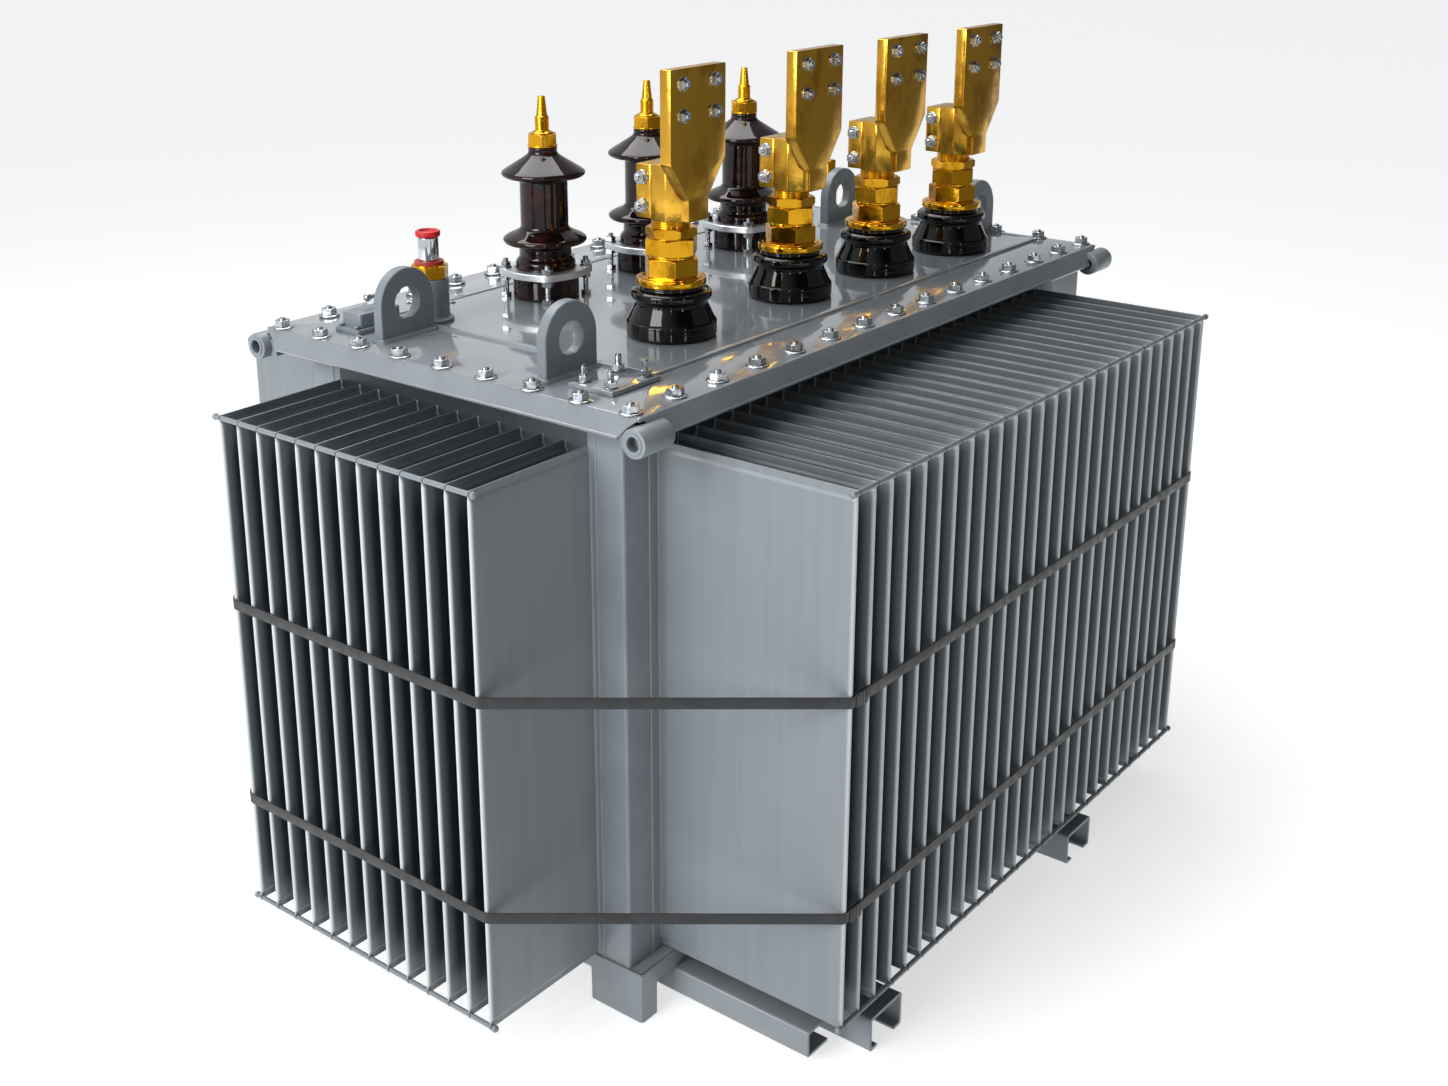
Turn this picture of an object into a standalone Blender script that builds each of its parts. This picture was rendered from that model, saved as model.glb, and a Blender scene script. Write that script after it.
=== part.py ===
"""Oil-filled distribution transformer with a corrugated tank and open bushings.

Metres, +Z up.  The origin is on the ground under the middle of the whole outline.  +X runs
along the tank, the low-voltage bushings are on the -Y side and the high-voltage ones on the +Y
side.  The fins are deeper on the -Y side, so the tank is laid out about its own middle and then
moved along Y by MIDDLE_Y.
Every sub-part is one named object; the tap changer's handle and the relief valve's cap have
their origins on their joint axes.
"""

import math

import bmesh
import bpy
from mathutils import Matrix, Vector

# ---------------------------------------------------------------- driving dimensions
GAP = 0.0003                     # clearance between pieces that touch

FIN_BOTTOM = 0.095               # underside of the cooling fins, above the ground
FIN_HEIGHT = 0.900
FIN_PITCH = 0.0473
FIN_THICKNESS = 0.008
LONG_FINS = 27                   # fins on each long side
SHORT_FINS = 13                  # fins on each end
FIN_TIP_X = 0.9585
FRONT_TIP_Y = 0.7155             # from the tank's middle to the fin tips, -Y side
REAR_TIP_Y = 0.6300              # the same on the +Y side
MIDDLE_Y = (FRONT_TIP_Y - REAR_TIP_Y) / 2
TANK_X = 0.7025                  # half length of the tank's walls
TANK_Y = 0.355                   # half depth of the tank's walls
SHEET = 0.0015                   # corrugated sheet
POST_LEG_X = 0.0625              # corner post, along the long side
POST_LEG_Y = 0.0555              # corner post, along the end
POST_SHEET = 0.005

BASE_X = 0.706
BASE_Y = 0.383
BASE_TOP = 0.092
SKIRT_DEPTH = 0.030
FOOT_X = 0.039                   # foot leg seen on the long side
FOOT_Y = 0.110                   # foot leg seen on the end
BASE_SHEET = 0.006

CHANNEL_STATIONS = (-0.4825, 0.2150)
CHANNEL_WIDTH = 0.095
CHANNEL_HALF_LENGTH = 0.67225
CHANNEL_LIP = 0.022
CHANNEL_SHEET = 0.005
RAIL_WEB_X = 0.620
RAIL_FLANGE = 0.058
RAIL_HEIGHT = 0.048
RAIL_HALF_LENGTH = 0.61225

LID_X = 0.7545
LID_Y = 0.4335
LID_TOP = 1.075
LID_SHEET = 0.006
LIP_DEPTH = 0.036
PANEL_X = (-0.570, 0.720)        # raised middle panel of the lid
PANEL_Y = 0.305
PANEL_RAISE = 0.003
PANEL_TOP = LID_TOP + PANEL_RAISE
GASKET_HEIGHT = 0.008
FLANGE_HEIGHT = 0.012
FLANGE_X = 0.747
FLANGE_Y = 0.426
FLANGE_INNER_X = 0.690
FLANGE_INNER_Y = 0.343
FLANGE_TOP = LID_TOP - LID_SHEET - GASKET_HEIGHT - 2 * GAP
FLANGE_BOTTOM = FLANGE_TOP - FLANGE_HEIGHT
FLANGE_JOINT_Y = 0.049           # where its two halves meet, between two cover studs
CUT_CLEARANCE = 0.1              # how far a cutter runs past the piece that it cuts

STUD_X = 0.730                   # cover studs: line along the ends
STUD_Y = 0.395                   # cover studs: line along the sides
STUDS_ALONG_X = 15
STUDS_ALONG_Y = 9
STUD_RADIUS = 0.006
STUD_RISE = 0.012
EYE_RADIUS = 0.023               # lashing eye tubes at the flange's corners
EYE_BORE = 0.0115
EYE_X = (0.695, 0.765)
EYE_Y = 0.428
EYE_Z = 1.043

LUG_STATIONS = {
    "front_left": (-0.637, -0.187),
    "rear_left": (-0.637, 0.185),
    "front_right": (0.653, -0.187),
    "rear_right": (0.605, 0.125),
}
LUG_RADIUS = 0.060               # half width, and radius of the round top
LUG_HOLE = 0.0275
LUG_THICKNESS = 0.020

LV_PLACES = ((-0.357, -0.172), (-0.012, -0.174), (0.255, -0.189), (0.513, -0.207))
LV_STUD = 0.018
LV_NECK = 0.033
LV_NECK_TOP = 0.278
LV_WASHER_SEAT = 0.0888
LV_BLOCK_BOTTOM = 0.2005
LV_BLOCK_TOP = 0.293
LV_PALM_TOP = 0.452
LV_PALM_HALF = 0.0725
LV_PALM_FRONT = -0.058
LV_PALM_THICKNESS = 0.022

HV_PLACES = ((-0.283, 0.185), (0.003, 0.176), (0.282, 0.150))
HV_STUD = 0.012
HV_RING_BOTTOM = 0.041
HV_RING_THICKNESS = 0.013
HV_TOP = 0.276
HV_TIP = 0.366

FILLER = (-0.540, 0.222)
POCKET = (0.645, 0.178)
TAP_HOUSING = (-0.635, 0.275)
TAP_AXIS = (-0.605, 0.275)
BLANKING_X = (-0.690, -0.573)
BLANKING_Y = (-0.325, -0.235)

STRAP_HEIGHTS = {"lower_strap": 0.298, "upper_strap": 0.664}
STRAP_WIDTH = 0.020
STRAP_THICKNESS = 0.002

LIMB_PITCH = 0.440
LIMB_X = 0.150
LIMB_Y = 0.160
YOKE_HEIGHT = 0.150
CORE_BOTTOM = 0.150
CORE_TOP = 0.870
COIL_CLEARANCE = 0.012
HV_COIL_RADIUS = 0.206

# ---------------------------------------------------------------- finishes
# name: (linear colour, roughness, metallic)
FINISHES = {
    "painted_steel": ((0.22, 0.25, 0.27), 0.35, 0.1),
    "dark_fin_paint": ((0.18, 0.21, 0.23), 0.40, 0.1),
    "zinc_steel": ((0.60, 0.61, 0.62), 0.30, 1.0),
    "brass": ((0.75, 0.47, 0.08), 0.22, 1.0),
    "black_glaze": ((0.012, 0.008, 0.008), 0.08, 0.0),
    "brown_glaze": ((0.035, 0.010, 0.010), 0.10, 0.0),
    "cast_aluminium": ((0.55, 0.57, 0.59), 0.38, 1.0),
    "chrome": ((0.80, 0.81, 0.82), 0.08, 1.0),
    "red_plastic": ((0.60, 0.01, 0.01), 0.35, 0.0),
    "nitrile_rubber": ((0.02, 0.02, 0.02), 0.70, 0.0),
    "strap_plastic": ((0.01, 0.01, 0.01), 0.45, 0.0),
    "core_steel": ((0.20, 0.20, 0.21), 0.45, 0.9),
    "enamelled_copper": ((0.45, 0.16, 0.06), 0.40, 0.8),
    "pressboard": ((0.42, 0.30, 0.17), 0.80, 0.0),
}


def clear_scene():
    """Remove everything that the new file holds."""
    for item in list(bpy.data.objects):
        bpy.data.objects.remove(item, do_unlink=True)


def make_collection(name):
    """Return a new collection linked to the scene."""
    collection = bpy.data.collections.new(name)
    bpy.context.scene.collection.children.link(collection)
    return collection


def make_finish(name):
    """Return the material of one finish."""
    colour, roughness, metallic = FINISHES[name]
    material = bpy.data.materials.new(name)
    material.use_nodes = True
    shader = material.node_tree.nodes["Principled BSDF"]
    shader.inputs["Base Color"].default_value = (*colour, 1.0)
    shader.inputs["Roughness"].default_value = roughness
    shader.inputs["Metallic"].default_value = metallic
    return material


clear_scene()
PARTS = make_collection("distribution_transformer")
TOOLS = make_collection("cutters_and_joined_pieces")
MATERIALS = {name: make_finish(name) for name in FINISHES}


# ---------------------------------------------------------------- modelling helpers
def add_mesh_object(name, mesh, finish=None, place=(0, 0, 0)):
    """Link a mesh as a part with its finish, or as a tool where it has no finish."""
    item = bpy.data.objects.new(name, mesh)
    item.location = place
    if finish is None:
        TOOLS.objects.link(item)
        item.hide_render = True
        item.display_type = "WIRE"
    else:
        PARTS.objects.link(item)
        mesh.materials.append(MATERIALS[finish])
    return item


def mesh_from(bm, name):
    """Write a bmesh into a new mesh and free it."""
    mesh = bpy.data.meshes.new(name)
    bm.to_mesh(mesh)
    bm.free()
    return mesh


def add_cube(bm, low, high):
    """Add a box between two corners to a bmesh."""
    low, high = Vector(low), Vector(high)
    place = Matrix.Translation((low + high) / 2) @ Matrix.Diagonal((*(high - low), 1.0))
    bmesh.ops.create_cube(bm, size=1.0, matrix=place)


def add_rod(bm, centre, radius, length, axis="Z", sides=12, turn=0.0, top_radius=None):
    """Add a capped cylinder, prism or cone to a bmesh, centred on a point."""
    tilt = {
        "Z": Matrix.Identity(4),
        "X": Matrix.Rotation(math.pi / 2, 4, "Y"),
        "Y": Matrix.Rotation(-math.pi / 2, 4, "X"),
    }[axis]
    bmesh.ops.create_cone(
        bm,
        cap_ends=True,
        segments=sides,
        radius1=radius,
        radius2=radius if top_radius is None else top_radius,
        depth=length,
        matrix=Matrix.Translation(centre) @ tilt @ Matrix.Rotation(turn, 4, "Z"),
    )


def box(name, low, high, finish=None):
    """Make a box between two corners."""
    bm = bmesh.new()
    add_cube(bm, low, high)
    return add_mesh_object(name, mesh_from(bm, name), finish)


def boolean(item, tool, operation):
    """Cut a tool from a part, or join it on, with a live modifier."""
    modifier = item.modifiers.new(operation.lower(), "BOOLEAN")
    modifier.operation = operation
    modifier.solver = "EXACT"
    modifier.object = tool


def tool_of_boxes(name, corners):
    """Make one tool out of several boxes that don't touch."""
    bm = bmesh.new()
    for low, high in corners:
        add_cube(bm, low, high)
    return add_mesh_object(name, mesh_from(bm, name))


def tool_of_rods(name, centres, radius, length, axis="Z", sides=12, turn=0.0):
    """Make one tool out of several equal rods that don't touch."""
    bm = bmesh.new()
    for centre in centres:
        add_rod(bm, centre, radius, length, axis, sides, turn)
    return add_mesh_object(name, mesh_from(bm, name))


def smooth(item, angle=math.radians(35)):
    """Shade a round piece smooth, with its hard edges kept."""
    item.data.shade_smooth()
    item.data.set_sharp_from_angle(angle=angle)


def turned(name, profile, finish, place, sides=12, closed=False):
    """Turn a profile of (radius, height) points, top to bottom, about the Z axis."""
    mesh = bpy.data.meshes.new(name)
    count = len(profile)
    edges = [(i, i + 1) for i in range(count - 1)]
    if closed:
        edges.append((count - 1, 0))
    mesh.from_pydata([(radius, 0.0, height) for radius, height in profile], edges, [])
    item = add_mesh_object(name, mesh, finish, place)
    screw = item.modifiers.new("turn", "SCREW")
    screw.steps = sides
    screw.render_steps = sides
    screw.use_merge_vertices = True
    screw.merge_threshold = 0.00001
    screw.use_smooth_shade = True
    return item


def arc(centre, radius, start, end, count):
    """Return points along an arc, from one angle in degrees to another."""
    steps = [math.radians(start + (end - start) * i / count) for i in range(count + 1)]
    return [(centre[0] + radius * math.cos(a), centre[1] + radius * math.sin(a)) for a in steps]


def plate(name, outlines, thickness, finish, place, upright=False):
    """Extrude a flat outline, with its holes, into a plate.

    The plate lies in XY about its middle plane, or stands in XZ where it is upright.
    """
    curve = bpy.data.curves.new(name + "_outline", "CURVE")
    curve.dimensions = "2D"
    curve.fill_mode = "BOTH"
    curve.extrude = thickness / 2
    for points in outlines:
        spline = curve.splines.new("POLY")
        spline.points.add(len(points) - 1)
        for point, (u, v) in zip(spline.points, points):
            point.co = (u, v, 0.0, 1.0)
        spline.use_cyclic_u = True
    sketch = bpy.data.objects.new(name + "_sketch", curve)
    TOOLS.objects.link(sketch)
    bpy.context.view_layer.update()
    mesh = bpy.data.meshes.new_from_object(
        sketch.evaluated_get(bpy.context.evaluated_depsgraph_get())
    )
    bpy.data.objects.remove(sketch, do_unlink=True)
    mesh.materials.clear()
    bm = bmesh.new()
    bm.from_mesh(mesh)
    bmesh.ops.remove_doubles(bm, verts=bm.verts, dist=0.00001)
    if upright:
        bmesh.ops.rotate(bm, verts=bm.verts, matrix=Matrix.Rotation(math.pi / 2, 3, "X"))
    bm.to_mesh(mesh)
    bm.free()
    mesh.name = name
    return add_mesh_object(name, mesh, finish, place)


# ---------------------------------------------------------------- tank
def corrugated_wall(name, fins, half_width, depth, angle):
    """Make one wall of folded fins, facing -Y before it is turned about Z by an angle.

    The wall is a grid of narrow columns.  Every second column is pressed outwards as a fin,
    and the sheet gets its thickness on the inside.
    """
    columns, rows = 2 * fins + 1, 3
    first = -FIN_PITCH * (fins - 1) / 2
    across = [-half_width]
    for index in range(fins):
        middle = first + index * FIN_PITCH
        across += [middle - FIN_THICKNESS / 2, middle + FIN_THICKNESS / 2]
    across.append(half_width)
    up = [BASE_TOP + GAP, FIN_BOTTOM, FIN_BOTTOM + FIN_HEIGHT, FLANGE_BOTTOM - GAP]

    bm = bmesh.new()
    bmesh.ops.create_grid(bm, x_segments=columns, y_segments=rows, size=1.0)
    for vertex in bm.verts:
        column = round((vertex.co.x + 1) / 2 * columns)
        row = round((vertex.co.y + 1) / 2 * rows)
        vertex.co = (across[column], 0.0, up[row])
    pressed = []
    for face in bm.faces:
        middle = face.calc_center_median()
        in_row = up[1] < middle.z < up[2]
        nearest = round((middle.x - first) / FIN_PITCH)
        on_fin = abs(middle.x - first - nearest * FIN_PITCH) < FIN_THICKNESS / 4
        if in_row and on_fin and 0 <= nearest < fins:
            pressed.append(face)
    made = bmesh.ops.extrude_discrete_faces(bm, faces=pressed)["faces"]
    tips = {vertex for face in made for vertex in face.verts}
    bmesh.ops.translate(bm, verts=list(tips), vec=(0.0, -depth, 0.0))
    bmesh.ops.recalc_face_normals(bm, faces=bm.faces)
    if sum(face.normal.y * face.calc_area() for face in bm.faces) > 0:
        bmesh.ops.reverse_faces(bm, faces=bm.faces)
    wall = add_mesh_object(name, mesh_from(bm, name), "dark_fin_paint")
    solid = wall.modifiers.new("sheet", "SOLIDIFY")
    solid.thickness = SHEET
    solid.offset = -1.0
    solid.use_even_offset = True
    wall.rotation_euler = (0.0, 0.0, angle)
    reach = TANK_Y if name.endswith(("front", "rear")) else TANK_X
    wall.location = (math.sin(angle) * reach, -math.cos(angle) * reach, 0.0)
    return wall


def tank_walls():
    """Make the four corrugated walls."""
    long_half = TANK_X - POST_LEG_X - GAP
    short_half = TANK_Y - POST_LEG_Y - GAP
    short_depth = FIN_TIP_X - TANK_X
    corrugated_wall("tank_wall_front", LONG_FINS, long_half, FRONT_TIP_Y - TANK_Y, 0.0)
    corrugated_wall("tank_wall_rear", LONG_FINS, long_half, REAR_TIP_Y - TANK_Y, math.pi)
    corrugated_wall("tank_wall_left", SHORT_FINS, short_half, short_depth, -math.pi / 2)
    corrugated_wall("tank_wall_right", SHORT_FINS, short_half, short_depth, math.pi / 2)


def corner_posts():
    """Make the four angle posts that close the tank's corners."""
    height = FLANGE_BOTTOM - BASE_TOP - 2 * GAP
    for side, sx in (("left", -1), ("right", 1)):
        for end, sy in (("front", -1), ("rear", 1)):
            inner_x, inner_y = TANK_X - POST_SHEET, TANK_Y - POST_SHEET
            corner = [
                (TANK_X, TANK_Y),
                (TANK_X - POST_LEG_X, TANK_Y),
                (TANK_X - POST_LEG_X, inner_y),
                (inner_x, inner_y),
                (inner_x, TANK_Y - POST_LEG_Y),
                (TANK_X, TANK_Y - POST_LEG_Y),
            ]
            outline = [(sx * x, sy * y) for x, y in corner]
            place = (0.0, 0.0, BASE_TOP + GAP + height / 2)
            plate(f"corner_post_{end}_{side}", [outline], height, "painted_steel", place)


def tank_base():
    """Make the floor pan: a plate with a skirt that runs down into four corner feet."""
    bm = bmesh.new()
    add_cube(bm, (-BASE_X, -BASE_Y, 0.0), (BASE_X, BASE_Y, BASE_TOP))
    under = min(bm.faces, key=lambda face: face.calc_center_median().z)
    bmesh.ops.delete(bm, geom=[under], context="FACES_ONLY")
    base = add_mesh_object("tank_base", mesh_from(bm, "tank_base"), "painted_steel")
    solid = base.modifiers.new("sheet", "SOLIDIFY")
    solid.thickness = BASE_SHEET
    solid.offset = -1.0
    solid.use_even_offset = True
    clear, level = 1.0, BASE_TOP - SKIRT_DEPTH
    foot_x, foot_y = BASE_X - FOOT_X, BASE_Y - FOOT_Y
    along = box("base_window_long", (-foot_x, -clear, -clear), (foot_x, clear, level))
    across = box("base_window_short", (-clear, -foot_y, -clear), (clear, foot_y, level))
    boolean(base, along, "DIFFERENCE")
    boolean(base, across, "DIFFERENCE")


def skid_channels():
    """Make the two lipped channels that the tank slides on."""
    top = BASE_TOP - SKIRT_DEPTH - GAP
    half = CHANNEL_WIDTH / 2
    inner = half - CHANNEL_SHEET
    lip = half - CHANNEL_LIP
    section = [
        (-half, 0.0), (-lip, 0.0), (-lip, CHANNEL_SHEET), (-inner, CHANNEL_SHEET),
        (-inner, top - CHANNEL_SHEET), (inner, top - CHANNEL_SHEET), (inner, CHANNEL_SHEET),
        (lip, CHANNEL_SHEET), (lip, 0.0), (half, 0.0), (half, top), (-half, top),
    ]
    for side, station in zip(("left", "right"), CHANNEL_STATIONS):
        plate(f"skid_channel_{side}", [section], 2 * CHANNEL_HALF_LENGTH, "painted_steel",
              (station, -MIDDLE_Y, 0.0), upright=True)


def cross_rails():
    """Make the two plain channels beside the feet, with their backs outwards."""
    top = BASE_TOP - SKIRT_DEPTH - GAP
    bottom = top - RAIL_HEIGHT
    sheet = CHANNEL_SHEET
    inner = RAIL_WEB_X - RAIL_FLANGE
    section = [
        (RAIL_WEB_X, bottom), (RAIL_WEB_X, top), (inner, top), (inner, top - sheet),
        (RAIL_WEB_X - sheet, top - sheet), (RAIL_WEB_X - sheet, bottom + sheet),
        (inner, bottom + sheet), (inner, bottom),
    ]
    for side, sign in (("left", -1), ("right", 1)):
        outline = [(sign * x, z) for x, z in section]
        plate(f"cross_rail_{side}", [outline], 2 * RAIL_HALF_LENGTH, "painted_steel",
              (0.0, -MIDDLE_Y, 0.0), upright=True)


def seat_height(x, y):
    """Return the height at which a fitting stands at a place on the lid."""
    on_panel = PANEL_X[0] < x < PANEL_X[1] and abs(y) < PANEL_Y
    return (PANEL_TOP if on_panel else LID_TOP) + GAP


def stud_places():
    """Return the (x, y) places of the cover studs around the flange."""
    step_x = 2 * STUD_X / (STUDS_ALONG_X - 1)
    step_y = 2 * STUD_Y / (STUDS_ALONG_Y - 1)
    rows = [(-STUD_X + step_x * i, sy * STUD_Y) for i in range(STUDS_ALONG_X) for sy in (-1, 1)]
    ends = [
        (sx * STUD_X, -STUD_Y + step_y * i) for i in range(1, STUDS_ALONG_Y - 1) for sx in (-1, 1)
    ]
    return rows + ends


def tank_flange():
    """Make the tank's upper flange as two halves, with its welded cover studs and eyes."""
    mouth = box("flange_mouth",
                (-FLANGE_INNER_X, -FLANGE_INNER_Y, FLANGE_BOTTOM - CUT_CLEARANCE),
                (FLANGE_INNER_X, FLANGE_INNER_Y, FLANGE_TOP + CUT_CLEARANCE))
    stud_bottom = FLANGE_BOTTOM + FLANGE_HEIGHT / 2
    stud_top = LID_TOP + STUD_RISE
    eye_middle = sum(EYE_X) / 2
    eye_length = EYE_X[1] - EYE_X[0]
    halves = (
        ("front", -1, -FLANGE_Y, FLANGE_JOINT_Y - GAP / 2),
        ("rear", 1, FLANGE_JOINT_Y + GAP / 2, FLANGE_Y),
    )
    for end, sy, low, high in halves:
        half = box(f"tank_flange_{end}", (-FLANGE_X, low, FLANGE_BOTTOM),
                   (FLANGE_X, high, FLANGE_TOP), "painted_steel")
        boolean(half, mouth, "DIFFERENCE")
        studs = tool_of_rods(
            f"cover_studs_{end}",
            [(x, y, (stud_bottom + stud_top) / 2) for x, y in stud_places() if low < y < high],
            STUD_RADIUS, stud_top - stud_bottom, sides=6,
        )
        boolean(half, studs, "UNION")
        corners = [(sx * eye_middle, sy * EYE_Y, EYE_Z) for sx in (-1, 1)]
        eyes = tool_of_rods(f"eye_tubes_{end}", corners, EYE_RADIUS, eye_length, axis="X")
        boolean(half, eyes, "UNION")
        bores = tool_of_rods(f"eye_bores_{end}", corners, EYE_BORE, 2 * eye_length, axis="X")
        boolean(half, bores, "DIFFERENCE")


def lid_gasket():
    """Make the rubber ring between the flange and the lid, inside the line of studs."""
    bottom = FLANGE_TOP + GAP
    top = bottom + GASKET_HEIGHT
    outer_x, outer_y = STUD_X - 2 * STUD_RADIUS, STUD_Y - 2 * STUD_RADIUS
    gasket = box("lid_gasket", (-outer_x, -outer_y, bottom), (outer_x, outer_y, top),
                 "nitrile_rubber")
    mouth = box("gasket_mouth", (-FLANGE_INNER_X, -FLANGE_INNER_Y, bottom - CUT_CLEARANCE),
                (FLANGE_INNER_X, FLANGE_INNER_Y, top + CUT_CLEARANCE))
    boolean(gasket, mouth, "DIFFERENCE")


def lid():
    """Make the lid: a folded tray with a raised panel, notched corners and its holes."""
    bm = bmesh.new()
    add_cube(bm, (-LID_X, -LID_Y, LID_TOP - LIP_DEPTH), (LID_X, LID_Y, LID_TOP))
    under = min(bm.faces, key=lambda face: face.calc_center_median().z)
    bmesh.ops.delete(bm, geom=[under], context="FACES_ONLY")
    cover = add_mesh_object("lid", mesh_from(bm, "lid"), "painted_steel")
    solid = cover.modifiers.new("sheet", "SOLIDIFY")
    solid.thickness = LID_SHEET
    solid.offset = -1.0
    solid.use_even_offset = True
    panel = box("lid_panel", (PANEL_X[0], -PANEL_Y, LID_TOP - PANEL_RAISE),
                (PANEL_X[1], PANEL_Y, PANEL_TOP))
    boolean(cover, panel, "UNION")

    notch_x, notch_y = EYE_X[0] - 0.003, EYE_Y - EYE_RADIUS - 0.0015
    notch_top = LID_TOP - LID_SHEET - GAP
    far_x, far_y = LID_X + CUT_CLEARANCE, LID_Y + CUT_CLEARANCE
    notches = tool_of_boxes("lid_notches", [
        (
            (min(sx * notch_x, sx * far_x), min(sy * notch_y, sy * far_y), LID_TOP - CUT_CLEARANCE),
            (max(sx * notch_x, sx * far_x), max(sy * notch_y, sy * far_y), notch_top),
        )
        for sx in (-1, 1) for sy in (-1, 1)
    ])
    boolean(cover, notches, "DIFFERENCE")

    bm = bmesh.new()
    through = 0.08
    stud_slack = 0.001
    for x, y in stud_places():
        add_rod(bm, (x, y, LID_TOP), STUD_RADIUS + stud_slack, through, sides=6)
    for place in LV_PLACES:
        add_rod(bm, (*place, LID_TOP), 0.042, through)
    for place in HV_PLACES:
        add_rod(bm, (*place, LID_TOP), 0.038, through)
    add_rod(bm, (*FILLER, LID_TOP), 0.028, through)
    add_rod(bm, (*POCKET, LID_TOP), 0.0075, through, sides=8)
    add_rod(bm, (*TAP_AXIS, LID_TOP), 0.0080, through, sides=8)
    holes = add_mesh_object("lid_holes", mesh_from(bm, "lid_holes"))
    boolean(cover, holes, "DIFFERENCE")


def lifting_lugs():
    """Make the four upright lifting plates with round tops."""
    outline = [(-LUG_RADIUS, 0.0), (LUG_RADIUS, 0.0)]
    outline += arc((0.0, LUG_RADIUS), LUG_RADIUS, 0, 180, 12)
    hole = arc((0.0, LUG_RADIUS), LUG_HOLE, 0, 360, 16)[:-1]
    for name, (x, y) in LUG_STATIONS.items():
        plate(f"lifting_lug_{name}", [outline, hole], LUG_THICKNESS, "painted_steel",
              (x, y, seat_height(x, y)), upright=True)


# ---------------------------------------------------------------- low-voltage bushings
LV_INSULATOR = [
    (0.0535, 0.0885), (0.0535, 0.0830), (0.0640, 0.0810), (0.0685, 0.0755),
    (0.0685, 0.0680), (0.0630, 0.0615), (0.0615, 0.0560), (0.0735, 0.0300),
    (0.0770, 0.0270), (0.0770, 0.0040), (0.0740, 0.0), (0.0400, 0.0),
    (0.0400, -0.0500), (LV_STUD + 0.0006, -0.0500), (LV_STUD + 0.0006, 0.0885),
]


def lv_stem(index, x, y):
    """Make a low-voltage stud with its washer, two hex nuts, lock nut and neck."""
    seat = PANEL_TOP + GAP
    bm = bmesh.new()
    add_rod(bm, (0, 0, (LV_WASHER_SEAT + 0.101) / 2), 0.059, 0.101 - LV_WASHER_SEAT, sides=16)
    name = f"lv_stem_{index}"
    stem = add_mesh_object(name, mesh_from(bm, name), "brass", (x, y, seat))
    stack = (
        ("stud", LV_STUD, -0.110, 0.095, 12, 0.0),
        ("lower_nut", 0.0475, 0.1000, 0.1345, 6, 0.30),
        ("nut_gap", 0.0400, 0.1340, 0.1395, 12, 0.0),
        ("upper_nut", 0.0465, 0.1390, 0.1680, 6, 0.0),
        ("lock_nut", 0.0440, 0.1675, 0.1860, 6, 0.52),
        ("neck", LV_NECK, 0.1855, LV_NECK_TOP, 16, 0.0),
    )
    for label, radius, bottom, top, sides, turn in stack:
        bm = bmesh.new()
        add_rod(bm, (0, 0, (bottom + top) / 2), radius, top - bottom, sides=sides, turn=turn)
        tool = add_mesh_object(f"{name}_{label}", mesh_from(bm, label), place=(x, y, seat))
        boolean(stem, tool, "UNION")


def lv_flag(index, x, y):
    """Make a terminal flag: a split clamp block with an offset, tapered palm plate."""
    seat = PANEL_TOP + GAP
    half, rear = 0.040, 0.045
    section = [
        (-half, rear), (-half, -0.020), (-0.026, -0.045), (0.026, -0.045),
        (half, -0.020), (half, rear),
    ]
    height = LV_BLOCK_TOP - LV_BLOCK_BOTTOM
    name = f"lv_flag_{index}"
    block = plate(name, [section], height, "brass",
                  (x, y, seat + LV_BLOCK_BOTTOM + height / 2))
    shoulder, waist, waist_half = 0.300, 0.238, 0.0265
    outline = [
        (-LV_PALM_HALF, LV_PALM_TOP), (-LV_PALM_HALF, shoulder), (-waist_half, waist),
        (-waist_half, LV_BLOCK_BOTTOM), (waist_half, LV_BLOCK_BOTTOM), (waist_half, waist),
        (LV_PALM_HALF, shoulder), (LV_PALM_HALF, LV_PALM_TOP),
    ]
    palm_y = y + LV_PALM_FRONT + LV_PALM_THICKNESS / 2
    palm = plate(f"{name}_palm", [outline], LV_PALM_THICKNESS, None, (x, palm_y, seat),
                 upright=True)
    boolean(block, palm, "UNION")
    bore = tool_of_rods(f"{name}_bore", [(x, y, seat + LV_BLOCK_BOTTOM)], LV_NECK + GAP,
                        2 * (LV_NECK_TOP + 0.0005 - LV_BLOCK_BOTTOM), sides=16)
    boolean(block, bore, "DIFFERENCE")
    slit_half = 0.0015
    slit = box(f"{name}_slit", (x - slit_half, y + LV_NECK - 2 * slit_half, seat),
               (x + slit_half, y + CUT_CLEARANCE, seat + LV_PALM_TOP))
    boolean(block, slit, "DIFFERENCE")


def lv_bushings():
    """Make the four low-voltage bushings."""
    for index, (x, y) in enumerate(LV_PLACES, start=1):
        turned(f"lv_insulator_{index}", LV_INSULATOR, "black_glaze",
               (x, y, PANEL_TOP + GAP), closed=True)
        lv_stem(index, x, y)
        lv_flag(index, x, y)


# ---------------------------------------------------------------- high-voltage bushings
HV_INSULATOR = [
    (0.0262, HV_TOP), (0.0262, 0.2640), (0.0310, 0.2600), (0.0700, 0.2350),
    (0.0760, 0.2310), (0.0765, 0.2255), (0.0710, 0.2215), (0.0440, 0.2165),
    (0.0440, 0.1280), (0.0480, 0.1245), (0.0740, 0.1120), (0.0768, 0.1070),
    (0.0745, 0.1010), (0.0480, 0.0920), (0.0480, 0.0760), (0.0553, 0.0700),
    (0.0553, HV_RING_BOTTOM - GAP), (0.0610, HV_RING_BOTTOM - GAP), (0.0610, 0.0),
    (0.0360, 0.0), (0.0360, -0.0500), (HV_STUD + 0.0006, -0.0500),
    (HV_STUD + 0.0006, HV_TOP),
]
RING_CORNER = 0.089
RING_SIDE = 0.079
RING_STUD_CIRCLE = 0.0735


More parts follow.
